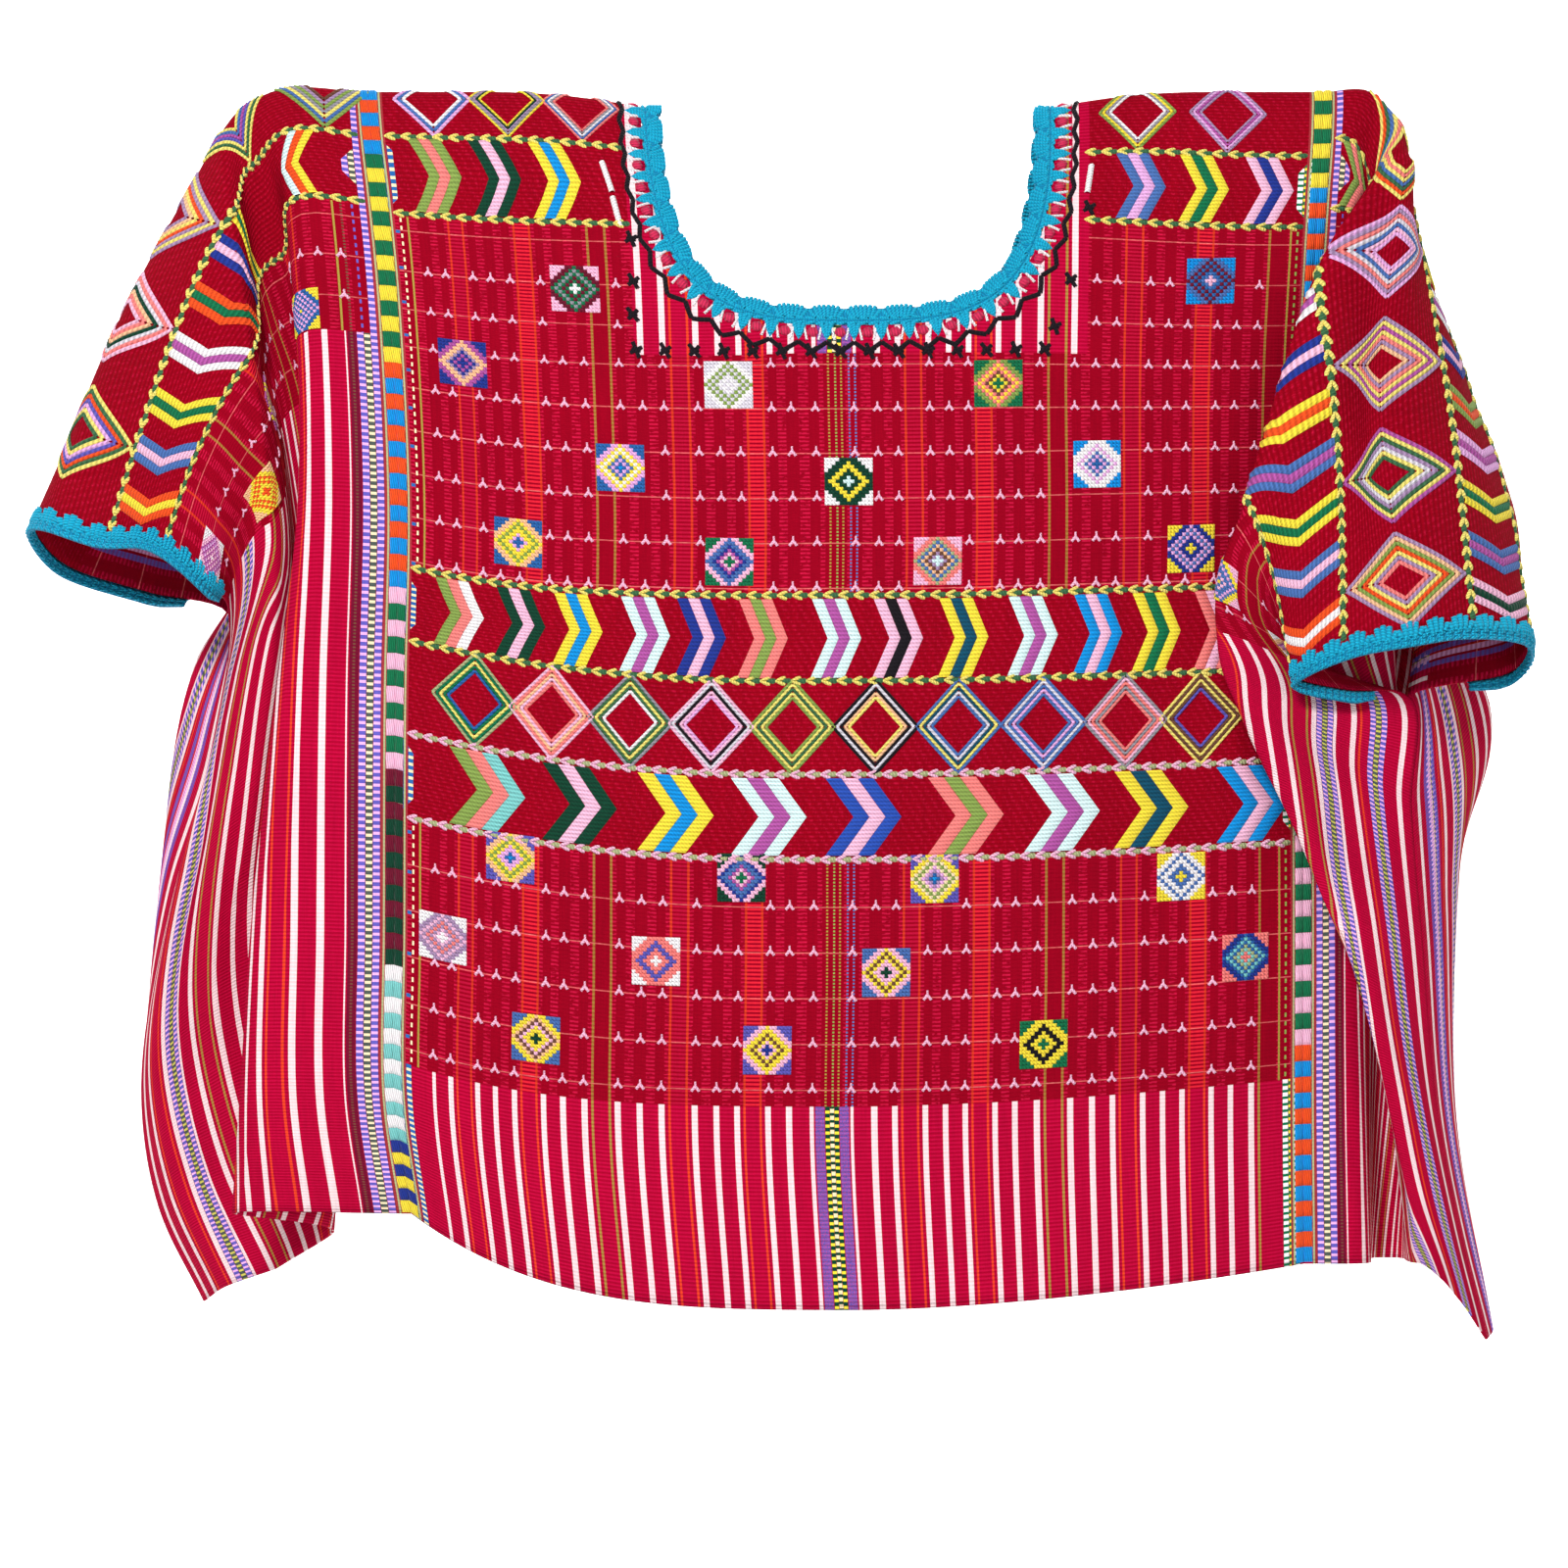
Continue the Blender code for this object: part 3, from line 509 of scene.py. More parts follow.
def centre_columns():
    edge, strip = SEAM_HALF - GAP / 2, SEAM_HALF - SEAM_STRIP
    left, right = NECK_CENTRE - NECK_HALF_WIDTH, NECK_CENTRE + NECK_HALF_WIDTH
    return np.concatenate([
        [-edge], np.linspace(-strip, left, STEPS_BESIDE_NECK)[:-1],
        np.linspace(left, right, STEPS_ACROSS_NECK + 1)[:-1],
        np.linspace(right, strip, STEPS_BESIDE_NECK), [edge],
    ])


def side_columns():
    """Return a side length's columns, counted in knots; -1 is the strip by the seam."""
    columns = [0.0, -1.0]
    for knot, steps in enumerate(STEPS_BETWEEN_KNOTS):
        columns += [knot + (i + 1) / steps for i in range(steps)]
    return np.array(columns)


def in_neck(face):
    """Say whether a face of the plain grid lies in the neck hole."""
    u, v = face.calc_center_median().xy
    return abs(u - NECK_CENTRE) < NECK_HALF_WIDTH and abs(v) < NECK_DEPTH


def weave_length(name, columns, place, hole, thickness, finish, node):
    """Make one length of cloth: a fine grid with a wall, laid over the form."""
    rows = cloth_rows()
    bm = bmesh.new()
    bmesh.ops.create_grid(bm, x_segments=len(columns) - 1, y_segments=len(rows) - 1, size=1.0)
    for vert in bm.verts:
        vert.co.x = columns[round((vert.co.x + 1) / 2 * (len(columns) - 1))]
        vert.co.y = rows[round((vert.co.y + 1) / 2 * (len(rows) - 1))]
    if hole:
        inside = [face for face in bm.faces if in_neck(face)]
        bmesh.ops.delete(bm, geom=inside, context="FACES")
    made = bmesh.ops.extrude_face_region(bm, geom=bm.faces[:], use_keep_orig=True)
    inner = [item for item in made["geom"] if isinstance(item, bmesh.types.BMVert)]
    bmesh.ops.translate(bm, verts=inner, vec=(0, 0, -1))
    mesh = bpy.data.meshes.new(name)
    bm.to_mesh(mesh)
    bm.free()
    flat = vertex_array(mesh)
    u, v = place(flat[:, 0], flat[:, 1])
    height = np.where(flat[:, 2] < -0.5, -thickness / 2, thickness / 2)
    mesh.vertices.foreach_set("co", on_cloth(u, v, height).astype(np.float32).ravel())
    face_outwards(mesh)
    pattern = np.stack([u, v + slip(u, v), stripe_phase(u)], axis=1)
    add_vectors(mesh, "cloth", pattern)
    return finish_piece(name, mesh, finish, [node])


# ------------------------------------------------------------------- stitches of yarn

def shape_grid(along, across, profile):
    """Make a small grid, 0 to 1 along and -0.5 to 0.5 across, raised by a profile."""
    bm = bmesh.new()
    bmesh.ops.create_grid(bm, x_segments=along, y_segments=across, size=0.5)
    for vert in bm.verts:
        vert.co.x += 0.5
        x, y = vert.co.x, vert.co.y
        vert.co.y, vert.co.z = profile(x, y)
    return bm


def long_strand():
    """A crowned strand with square ends, fine enough to bend over a fold."""
    return shape_grid(8, 4, lambda x, y: (y, (1 - (2 * y) ** 2) ** 0.5))


def short_strand():
    """A crowned strand for short runs, a little lower at its ends."""
    def profile(x, y):
        return y, (1 - (2 * y) ** 2) ** 0.5 * (1 - 0.35 * (2 * x - 1) ** 4)
    return shape_grid(3, 4, profile)


def drop():
    """A teardrop loop, wide where it starts and pointed where it ends."""
    def profile(x, y):
        width = (1 - (2 * max(0.5 - x, 0)) ** 3 * 0.5) * (1 - 0.75 * x ** 2)
        return y * width, (1 - (2 * y) ** 2) ** 0.5 * (1 - (2 * x - 1) ** 4 * 0.9)
    return shape_grid(4, 4, profile)


def pillow():
    """A satin block, crowned both ways."""
    def profile(x, y):
        return y, (1 - (2 * y) ** 4) ** 0.5 * (1 - 0.8 * abs(2 * x - 1) ** 5)
    return shape_grid(6, 6, profile)


def cell():
    """One raised stitch of a small diamond."""
    bm = bmesh.new()
    bmesh.ops.create_grid(bm, x_segments=1, y_segments=1, size=0.5)
    bmesh.ops.translate(bm, verts=bm.verts, vec=(0.5, 0, 0))
    bmesh.ops.inset_individual(bm, faces=bm.faces[:], thickness=0.2, depth=0.8)
    return bm


def bobble():
    """A low round knot of crochet."""
    bm = bmesh.new()
    bmesh.ops.create_icosphere(bm, subdivisions=1, radius=0.5)
    bmesh.ops.translate(bm, verts=bm.verts, vec=(0.5, 0, 0))
    return bm


SHAPES = {"long": long_strand, "short": short_strand, "drop": drop, "pillow": pillow,
          "cell": cell, "bobble": bobble}


class Stitches:
    """Stitches gathered flat, in cloth places, and then laid on the form together."""

    def __init__(self):
        self.rows = {kind: [] for kind in SHAPES}

    def add(self, kind, start, end, across, height, colour, lift=0.0):
        """Add one stitch from start to end; across is its width as a vector."""
        run = (end[0] - start[0], end[1] - start[1])
        if run[0] * across[1] - run[1] * across[0] < 0:
            across = (-across[0], -across[1])
        self.rows[kind].append((*start, *run, *across, lift, height, *YARN[colour]))

    def strand(self, start, end, width, height, colour, lift=0.0, kind="long"):
        """Add a stitch with square ends of the given width."""
        du, dv = end[0] - start[0], end[1] - start[1]
        size = max(np.hypot(du, dv), 1e-6)
        self.add(kind, start, end, (-dv / size * width, du / size * width), height,
                 colour, lift)

    def make(self, name, finish, slot, nodes=(), place=on_pattern, base=None):
        """Build the gathered stitches as one piece."""
        bm = bmesh.new()
        points, colours, lays = [], [], []
        for kind, rows in self.rows.items():
            if not rows:
                continue
            shape = SHAPES[kind]()
            template = bpy.data.meshes.new(kind)
            shape.to_mesh(template)
            shape.free()
            for _ in rows:
                bm.from_mesh(template)
            flat = vertex_array(template)
            bpy.data.meshes.remove(template)
            table = np.array(rows, float)
            run, across = table[:, 2:4], table[:, 4:6]
            xy = (table[:, None, 0:2] + flat[None, :, 0:1] * run[:, None]
                  + flat[None, :, 1:2] * across[:, None])
            z = table[:, 6:7] + flat[None, :, 2] * table[:, 7:8]
            points.append(np.concatenate([xy, z[:, :, None]], axis=2).reshape(-1, 3))
            colours.append(np.repeat(table[:, 8:11], len(flat), axis=0))
            length = np.hypot(run[:, 0], run[:, 1])[:, None]
            number = np.arange(len(rows))[:, None] + np.zeros((1, len(flat)))
            lays.append(np.stack([length * flat[None, :, 0],
                                  np.repeat(flat[None, :, 1], len(rows), axis=0),
                                  number], axis=2).reshape(-1, 3))
        mesh = bpy.data.meshes.new(name)
        bm.to_mesh(mesh)
        bm.free()
        points = np.concatenate(points)
        world = place(points[:, 0], points[:, 1], points[:, 2])
        mesh.vertices.foreach_set("co", world.astype(np.float32).ravel())
        colours = np.concatenate(colours)
        opaque = np.ones((len(colours), 1))
        add_vectors(mesh, "stitch", np.concatenate([colours, opaque], axis=1), "FLOAT_COLOR")
        add_vectors(mesh, "lay", np.concatenate(lays))
        add_vectors(mesh, "cloth", points)
        return finish_piece(name, mesh, finish, nodes)


# -------------------------------------------------------------------------- finishes

class Nodes:
    """A material's nodes, with short ways to add and join them."""

    def __init__(self, name, roughness=0.8, sheen=0.1, shine=0.12):
        self.material = bpy.data.materials.new(name)
        self.material.use_nodes = True
        self.tree = self.material.node_tree
        self.shader = self.tree.nodes["Principled BSDF"]
        self.shader.inputs["Roughness"].default_value = roughness
        self.shader.inputs["Sheen Weight"].default_value = sheen
        self.shader.inputs["Sheen Roughness"].default_value = 0.4
        self.shader.inputs["Specular IOR Level"].default_value = shine

    def put(self, value, socket):
        if isinstance(value, (int, float)):
            socket.default_value = value
        elif isinstance(value, tuple):
            socket.default_value = (*value, 1) if len(value) == 3 else value
        else:
            self.tree.links.new(value, socket)

    def math(self, kind, a, b=0.0, c=0.0):
        node = self.tree.nodes.new("ShaderNodeMath")
        node.operation = kind
        for value, socket in zip((a, b, c), node.inputs):
            self.put(value, socket)
        return node.outputs[0]

    def near(self, value, middle, half):
        return self.math("COMPARE", value, middle, half)

    def between(self, value, low, high):
        return self.near(value, (low + high) / 2, (high - low) / 2)

    def both(self, a, b):
        return self.math("MULTIPLY", a, b)

    def either(self, a, b):
        return self.math("MAXIMUM", a, b)

    def opposite(self, a):
        return self.math("SUBTRACT", 1.0, a)

    def wrap(self, value, period, shift=0.0):
        """Return how far value is from the nearest whole repeat, as a size."""
        moved = self.math("ADD", value, period / 2 - shift)
        turned = self.math("FLOORED_MODULO", moved, period)
        return self.math("ABSOLUTE", self.math("SUBTRACT", turned, period / 2))

    def alternate(self, value, period, shift=0.0, share=0.5):
        """Return 1 over the first share of each period and 0 over the rest."""
        turned = self.math("FLOORED_MODULO", self.math("ADD", value, shift), period)
        return self.math("LESS_THAN", turned, period * share)

    def ribs(self, value, pitch):
        """Return a soft ridge, 0 to 1, at each pitch."""
        wave = self.math("SINE", self.math("MULTIPLY", value, TAU / pitch))
        return self.math("MULTIPLY_ADD", wave, 0.5, 0.5)

    def mix(self, share, a, b, kind="MIX"):
        node = self.tree.nodes.new("ShaderNodeMix")
        node.data_type, node.blend_type = "RGBA", kind
        self.put(share, node.inputs[0])
        self.put(a, node.inputs[6])
        self.put(b, node.inputs[7])
        return node.outputs[2]

    def attribute(self, name):
        node = self.tree.nodes.new("ShaderNodeAttribute")
        node.attribute_name = name
        return node

    def split(self, name):
        node = self.tree.nodes.new("ShaderNodeSeparateXYZ")
        self.tree.links.new(self.attribute(name).outputs["Vector"], node.inputs[0])
        return node.outputs

    def vector(self, x, y, z=0.0):
        node = self.tree.nodes.new("ShaderNodeCombineXYZ")
        for value, socket in zip((x, y, z), node.inputs):
            self.put(value, socket)
        return node.outputs[0]

    def noise(self, vector, scale, detail=2.0):
        node = self.tree.nodes.new("ShaderNodeTexNoise")
        node.inputs["Scale"].default_value = scale
        node.inputs["Detail"].default_value = detail
        self.tree.links.new(vector, node.inputs["Vector"])
        return node.outputs["Fac"]

    def spread(self, value, low, high):
        """Turn 0 to 1 into low to high."""
        return self.math("MULTIPLY_ADD", value, high - low, low)

    def shade(self, colour, factor):
        """Darken or lighten a colour by a number."""
        return self.mix(1.0, colour, self.vector(factor, factor, factor), "MULTIPLY")

    def done(self, colour, height, depth, strength=0.7):
        bump = self.tree.nodes.new("ShaderNodeBump")
        bump.inputs["Strength"].default_value = strength
        bump.inputs["Distance"].default_value = depth * MM
        self.tree.links.new(height, bump.inputs["Height"])
        self.tree.links.new(bump.outputs[0], self.shader.inputs["Normal"])
        self.tree.links.new(colour, self.shader.inputs["Base Color"])
        return self.material


def cloth_finish(colours):
    """The woven cloth: ribs, brocade ground, white triples, pairs and checked stripes."""
    n = Nodes("woven_cloth", roughness=0.9, sheen=0.0, shine=0.05)
    u, v, phase = n.split("cloth")
    down, out = n.math("ABSOLUTE", v), n.math("ABSOLUTE", u)
    pitch = colours.rib_pitch / MM
    rib = n.ribs(v, pitch)
    streak = n.noise(n.vector(n.math("MULTIPLY", u, 1.1), n.math("MULTIPLY", v, 0.03)), 1.0)
    fleck = n.noise(n.vector(n.math("MULTIPLY", u, 0.35), n.math("MULTIPLY", v, 0.9)), 1.0)
    broad = n.noise(n.vector(u, v), 0.018, 3.0)

    # where each kind of ground lies
    is_side = n.math("GREATER_THAN", out, SEAM_HALF)
    neck = n.both(n.between(u, NECK_PLAIN[0], NECK_PLAIN[1]),
                  n.math("LESS_THAN", down, NECK_PLAIN[2]))
    field = n.either(n.between(down, *FIELDS[0]), n.between(down, *FIELDS[1]))
    field = n.both(field, n.opposite(is_side))
    field = n.either(field, n.both(is_side, n.between(down, *SIDE_FIELD)))
    field = n.both(field, n.opposite(neck))
    band = n.either(n.between(down, -1, FIELDS[0][0]),
                    n.both(n.between(down, FIELDS[0][1], FIELDS[1][0]), n.opposite(is_side)))
    band = n.both(band, n.opposite(neck))
    open_warp = n.opposite(n.either(field, band))

    # warp stripes
    near_triple = n.wrap(phase, REPEAT)
    near_pair = n.wrap(phase, REPEAT, REPEAT / 2)
    count = n.math("FLOOR", n.math("DIVIDE", phase, REPEAT))
    is_gold = n.near(n.math("FLOORED_MODULO", count, 3.0), 2.0, 0.4)
    is_dim = n.near(n.math("FLOORED_MODULO", count, 3.0), 0.0, 0.4)
    clear = n.both(n.opposite(n.near(u, -9.3, 9.5)),
                   n.opposite(n.near(out, SEAM_HALF, 21.0)))
    white = n.either(n.near(near_triple, 0.0, 1.55), n.near(near_triple, 11.2, 1.55))
    white = n.both(n.both(white, open_warp), n.both(clear, n.spread(rib, 0.8, 1.0)))
    pair = n.both(n.near(near_pair, 4.4, 0.62), clear)
    pair = n.both(pair, n.both(n.opposite(band), n.spread(field, 1.0, 0.7)))
    inside_pair = n.both(n.near(near_pair, 0.0, 3.8), n.both(clear, n.opposite(is_gold)))
    pair_colour = n.mix(is_gold, tuple(colours.pair), YARN["gold"])

    # grounds
    # painted highlight: the crests of the weft ribs are mixed toward a lighter pink, where light
    # would catch them
    plain = n.mix(n.spread(rib, 0.0, 0.8), tuple(colours.crimson), tuple(colours.rib_highlight))
    slant = n.ribs(n.math("MULTIPLY_ADD", v, 0.6, u), 4.6)
    pebble = n.noise(n.vector(n.math("MULTIPLY", u, 0.9), n.math("MULTIPLY", v, 0.5)), 1.0)
    tufts = n.both(n.both(slant, rib), n.math("GREATER_THAN", pebble, 0.5))
    banded = n.mix(n.both(tufts, 0.55), tuple(colours.band), tuple(colours.dash))
    # painted shade and highlight: the band ground is darkened between the weft ribs and
    # lightened on their crests
    banded = n.shade(banded, n.spread(rib, 0.8, 1.05))
    columns = n.either(n.near(near_triple, 5.45, 2.3), n.near(near_triple, 13.6, 1.1))
    dash = n.both(n.both(columns, n.math("GREATER_THAN", rib, 0.5)),
                  n.both(n.math("GREATER_THAN", fleck, 0.42), n.spread(fleck, 0.3, 1.3)))
    ground = n.mix(dash, tuple(colours.brocade), tuple(colours.dash))
    ladder = n.mix(n.math("GREATER_THAN", rib, 0.45), tuple(colours.brocade),
                   n.mix(is_dim, tuple(colours.ladder), tuple(colours.dash)))
    ground = n.mix(n.both(inside_pair, n.spread(is_dim, 0.95, 0.6)), ground, ladder)
    line = n.near(n.wrap(v, colours.tick_step / MM, TICK_START), 0.0, 0.3)
    ground = n.mix(n.both(line, n.spread(fleck, 0.0, 0.9)), ground, YARN["salmon"])
    colour = n.mix(field, n.mix(band, plain, banded), ground)
    colour = n.mix(n.both(pair, n.spread(rib, 0.5, 1.0)), colour, pair_colour)
    colour = n.mix(white, colour, tuple(colours.white))

    # the checked stripes: beside each randa, near the side seams and in the middle
    light, core_light = n.alternate(v, 3.6, 0.0, 0.42), n.alternate(v, 3.6, 1.15, 0.42)
    near_chevrons = n.math("MINIMUM", n.math("ABSOLUTE", n.math("SUBTRACT", down, 298.0)),
                           n.math("ABSOLUTE", n.math("SUBTRACT", down, 390.5)))
    near_chevrons = n.math("MINIMUM", near_chevrons,
                           n.math("ABSOLUTE", n.math("SUBTRACT", down, 52.5)))
    off_seam = n.math("SUBTRACT", out, SEAM_HALF)
    is_right = n.math("GREATER_THAN", u, 0.0)
    slope = n.math("MULTIPLY_ADD", n.math("ABSOLUTE", off_seam), 1 / 19,
                   n.math("DIVIDE", near_chevrons, 24.0))
    corner = n.both(band, n.math("LESS_THAN", slope, 1.0))
    shown = n.either(open_warp, corner)
    edge_column = n.either(shown, n.between(off_seam, 7.0, 10.2))
    checks = (
        (off_seam, 11.6, 4.6, "lilac", "violet", "cream", "moss", edge_column),
        (n.math("ABSOLUTE", n.math("SUBTRACT", off_seam, 277.0)),
         15.0, 4.6, "lilac", "violet", "yellow_green", "moss", n.both(shown, is_right)),
        (off_seam, 272.0, 4.6, "lilac", "violet", "yellow_green", "moss",
         n.both(shown, n.opposite(is_right))),
        (u, -231.8, 4.0, "cream", "blue", "blue", "navy", shown),
        (u, 231.0, 4.4, "green", "white", "yellow", "green", shown),
        (u, -9.3, 3.5, "yellow", "dark_green", "dark_green", "cream", open_warp),
    )
    for place, middle, half, first, second, third, fourth, where in checks:
        from_middle = n.math("ABSOLUTE", n.math("SUBTRACT", place, middle))
        outer = n.both(n.between(from_middle, half * 0.36, half), where)
        core = n.both(n.math("LESS_THAN", from_middle, half * 0.3), where)
        colour = n.mix(n.both(n.math("LESS_THAN", from_middle, half * 1.06), where), colour,
                       YARN["maroon"])
        colour = n.mix(outer, colour, n.mix(light, YARN[second], YARN[first]))
        colour = n.mix(core, colour, n.mix(core_light, YARN[fourth], YARN[third]))
    beside = n.near(n.math("ABSOLUTE", n.math("ADD", u, 9.3)), 6.3, 2.4)
    speckle = n.mix(n.math("GREATER_THAN", n.noise(n.vector(u, v), 1.6), 0.5),
                    YARN["purple"], YARN["violet"])
    # painted shade: the speckled stripe beside the middle is darkened between the weft ribs
    colour = n.mix(n.both(beside, open_warp), colour, n.shade(speckle, n.spread(rib, 0.6, 1)))

    # in the fields the checked stripes are only dotted lines
    dots = n.both(field, n.alternate(v, 1.8))
    far_dots = n.both(field, n.alternate(v, 4.6))
    for place, middle, name, where in (
            (u, -12.6, "gold", dots), (u, -9.0, "olive", dots), (u, -6.0, "gold", dots),
            (u, -2.0, "slate", dots), (u, 1.2, "slate", dots),
            (u, -231.6, "cream", far_dots), (u, -227.6, "cream", far_dots),
            (u, -224.0, "gold", field), (u, 224.5, "gold", field),
            (u, 228.0, "olive", far_dots), (u, 232.0, "gold", far_dots),
            (off_seam, 13.5, "violet", far_dots), (off_seam, 22.5, "gold", field)):
        colour = n.mix(n.both(n.near(place, middle, 0.5), where), colour, YARN[name])
    blue_dot = n.both(n.near(u, -229.6, 1.1), n.near(n.wrap(v, 21.0), 0.0, 0.9))
    colour = n.mix(n.both(blue_dot, field), colour, YARN["blue"])
    brown = n.both(n.between(off_seam, 16.6, 20.4), n.opposite(field))
    colour = n.mix(n.both(brown, n.opposite(band)), colour, YARN["maroon"])
    brown = n.near(off_seam, 18.6, 0.55)
    colour = n.mix(n.both(brown, n.both(n.opposite(band), n.alternate(v, 1.8))), colour,
                   YARN["brown"])
    lining = n.math("GREATER_THAN", v, float(SIDE_FIELD[0]))
    for place, name in ((288.0, "violet"), (293.0, "lilac"), (298.0, "violet")):
        strip = n.both(n.near(off_seam, place, 1.7), lining)
        colour = n.mix(n.both(strip, n.spread(rib, 0.5, 1.0)), colour, YARN[name])
    colour = n.mix(n.near(n.math("ABSOLUTE", off_seam), 6.2, 0.6), colour, YARN["brick"])
    colour = n.mix(n.near(n.math("ABSOLUTE", off_seam), 5.2, 0.45), colour, YARN["pale_olive"])

    colour = n.shade(colour, n.both(n.spread(streak, 0.84, 1.16), n.spread(broad, 0.88, 1.12)))
    raised = n.math("ADD", n.both(rib, 0.6), n.both(streak, 0.4))
    raised = n.math("ADD", raised, n.both(n.either(dash, white), 0.5))
    return n.done(colour, raised, 0.55)


def yarn_finish(name="embroidery_yarn", ply=1.7, roughness=0.7):
    """Yarn that takes its colour from each stitch, with plies across the strand."""
    n = Nodes(name, roughness=roughness, sheen=0.1)
    along, across, number = n.split("lay")
    slant = n.math("ADD", n.math("MULTIPLY", across, 1.1), along)
    plies = n.ribs(slant, ply)
    hair = n.noise(n.vector(n.math("MULTIPLY", along, 2.2), n.math("MULTIPLY", across, 9.0),
                            number), 1.0, 3.0)
    # painted shade: each strand is darkened in the grooves between its plies; the hair noise is
    # a random tone of the yarn
    tone = n.both(n.spread(plies, 0.72, 1.1), n.spread(hair, 0.82, 1.2))
    colour = n.shade(n.attribute("stitch").outputs["Color"], tone)
    return n.done(colour, n.math("ADD", plies, n.both(hair, 0.4)), 0.5, 0.8)


def soumak_finish():
    """Wrapped weft yarn of the brocaded bands, ribbed level with the weft."""
    n = Nodes("brocade_yarn", roughness=0.78, sheen=0.08)
    u, v, _ = n.split("cloth")
    number = n.split("lay")[2]
    rib = n.ribs(v, 2.1)
    twist = n.ribs(n.math("MULTIPLY_ADD", v, 0.9, u), 1.9)
    hair = n.noise(n.vector(n.math("MULTIPLY", u, 1.3), n.math("MULTIPLY", v, 1.3), number),
                   1.0, 3.0)
    # painted shade: the yarn is darkened between the weft ribs and along the grooves of the
    # twist; the hair noise is a random tone of the yarn
    tone = n.both(n.both(n.spread(rib, 0.68, 1.08), n.spread(twist, 0.9, 1.05)),
                  n.spread(hair, 0.86, 1.14))
    colour = n.shade(n.attribute("stitch").outputs["Color"], tone)
    return n.done(colour, n.math("ADD", rib, n.both(twist, 0.4)), 0.55, 0.8)


# ---------------------------------------------------------------------- what is sewn on

# Chevrons: (middle u, outer yarn, inner yarn, last yarn)
CHEVRONS_UPPER = (
    (-207, "olive", "salmon", "olive"), (-177, "dark_green", "pink", "dark_green"),
    (-147, "yellow", "sky", "yellow"), (147, "slate", "lilac", "slate"),
    (179, "yellow", "green", "yellow"), (212, "pink", "navy", "pink"),
)
CHEVRONS_MIDDLE = (
    (-205, "olive", "salmon", "white"), (-173, "dark_green", "pink", "dark_green"),
    (-143, "yellow", "sky", "yellow"), (-108, "pale", "purple", "pale"),
    (-79, "navy", "pink", "navy"), (-47, "salmon", "olive", "salmon"),
    (-9, "pale", "purple", "pale"), (23, "pink", "black", "pink"),
    (57, "yellow", "teal_blue", "yellow"), (93, "pale", "purple", "pale"),
    (127, "sky", "pink", "sky"), (158, "yellow", "green", "yellow"),
    (191, "salmon", "pink", "salmon"), (224, "olive", "salmon", "olive"),
)
CHEVRONS_LOWER = (
    (-189, "olive", "salmon", "teal"), (-141, "dark_green", "pink", "dark_green"),
    (-91, "yellow", "sky", "yellow"), (-43, "pale", "purple", "pale"),
    (6, "royal", "pink", "royal"), (59, "salmon", "olive", "salmon"),
    (109, "pale", "purple", "pale"), (156, "yellow", "teal_blue", "yellow"),
    (210, "sky", "pink", "sky"),
)
CHEVRONS_LEFT_FRONT = (
    (40, "yellow", "orange", "pale"),
    (134, "yellow", "green", "yellow"), (156, "navy", "pink", "navy"),
    (184, "orange", "green", "orange"), (212, "white", "purple", "white"),
    (243, "yellow", "green", "yellow"), (269, "slate", "pink", "slate"),
    (296, "orange", "yellow", "orange"),
)
CHEVRONS_RIGHT_FRONT = (
    (22, "olive", "salmon", "olive"), (50, "slate", "pink", "slate"),
    (78, "orange", "white", "orange"), (106, "yellow", "green", "yellow"),
    (133, "white", "purple", "white"), (161, "navy", "pink", "navy"),
    (189, "yellow", "orange", "yellow"), (214, "slate", "purple", "slate"),
    (241, "yellow", "green", "yellow"), (268, "slate", "pink", "slate"),
    (298, "orange", "white", "orange"),
)
CHEVRONS_BACK = (
    (24, "salmon", "olive", "salmon"), (54, "navy", "pink", "navy"),
    (84, "lilac", "mauve", "lilac"), (111, "yellow", "green", "yellow"),
    (135, "white", "purple", "white"), (161, "navy", "pink", "navy"),
    (189, "olive", "orange", "olive"), (215, "lilac", "purple", "lilac"),
    (243, "yellow", "green", "yellow"), (272, "slate", "purple", "slate"),
    (298, "pink", "dark_green", "pink"),
)
# Diamonds: (middle u, yarns from the outside in)
DIAMONDS_SHOULDER = (
    (-206, "lilac", "slate", "white"), (-169, "yellow", "grey", "mauve", "dark_green", "yellow"),
    (-132, "salmon", "slate", "white", "grey", "salmon"),
    (145, "olive", "yellow", "grey", "white"), (190, "mauve", "lilac", "purple", "mauve"),
)
DIAMONDS_MIDDLE = (
    (-196, "pale_olive", "green", "straw", "green", "blue"),
    (-156, "pink", "salmon", "peach", "pink", "salmon"),
    (-115, "grey", "leaf", "straw", "leaf", "white"),
    (-73, "pink", "silver", "black", "pink", "lilac"),
    (-31, "olive", "straw", "leaf", "straw", "olive"),
    (12, "black", "silver", "black", "peach", "straw"),
    (55, "slate", "straw", "teal_blue", "silver", "slate"),
    (99, "slate", "silver", "slate", "lilac", "slate"),
    (142, "grey", "pink", "salmon", "grey", "salmon"),
    (182, "straw", "brown", "straw", "brown", "violet"),
)
DIAMONDS_SIDE = {
    "left": ((23, "olive", "slate", "straw", "grey", "olive", "mauve", "brown"),
             (82, "straw", "leaf", "straw", "violet", "purple", "slate", "straw"),
             (140, "mauve", "straw", "mauve", "orange", "straw", "peach", "mauve"),
             (200, "pink", "salmon", "silver", "dark_green", "peach", "salmon", "pink"),
             (265, "straw", "leaf", "orange", "violet", "lilac", "straw", "leaf")),
    "right": ((50, "straw", "orange", "leaf", "slate", "straw", "salmon", "straw"),
              (105, "lilac", "mauve", "salmon", "silver", "slate", "pink", "lilac"),
              (167, "mauve", "straw", "purple", "straw", "salmon", "mauve", "peach"),
              (228, "purple", "straw", "leaf", "mauve", "silver", "straw", "leaf"),
              (285, "mauve", "peach", "olive", "orange", "straw", "mauve", "salmon")),
}
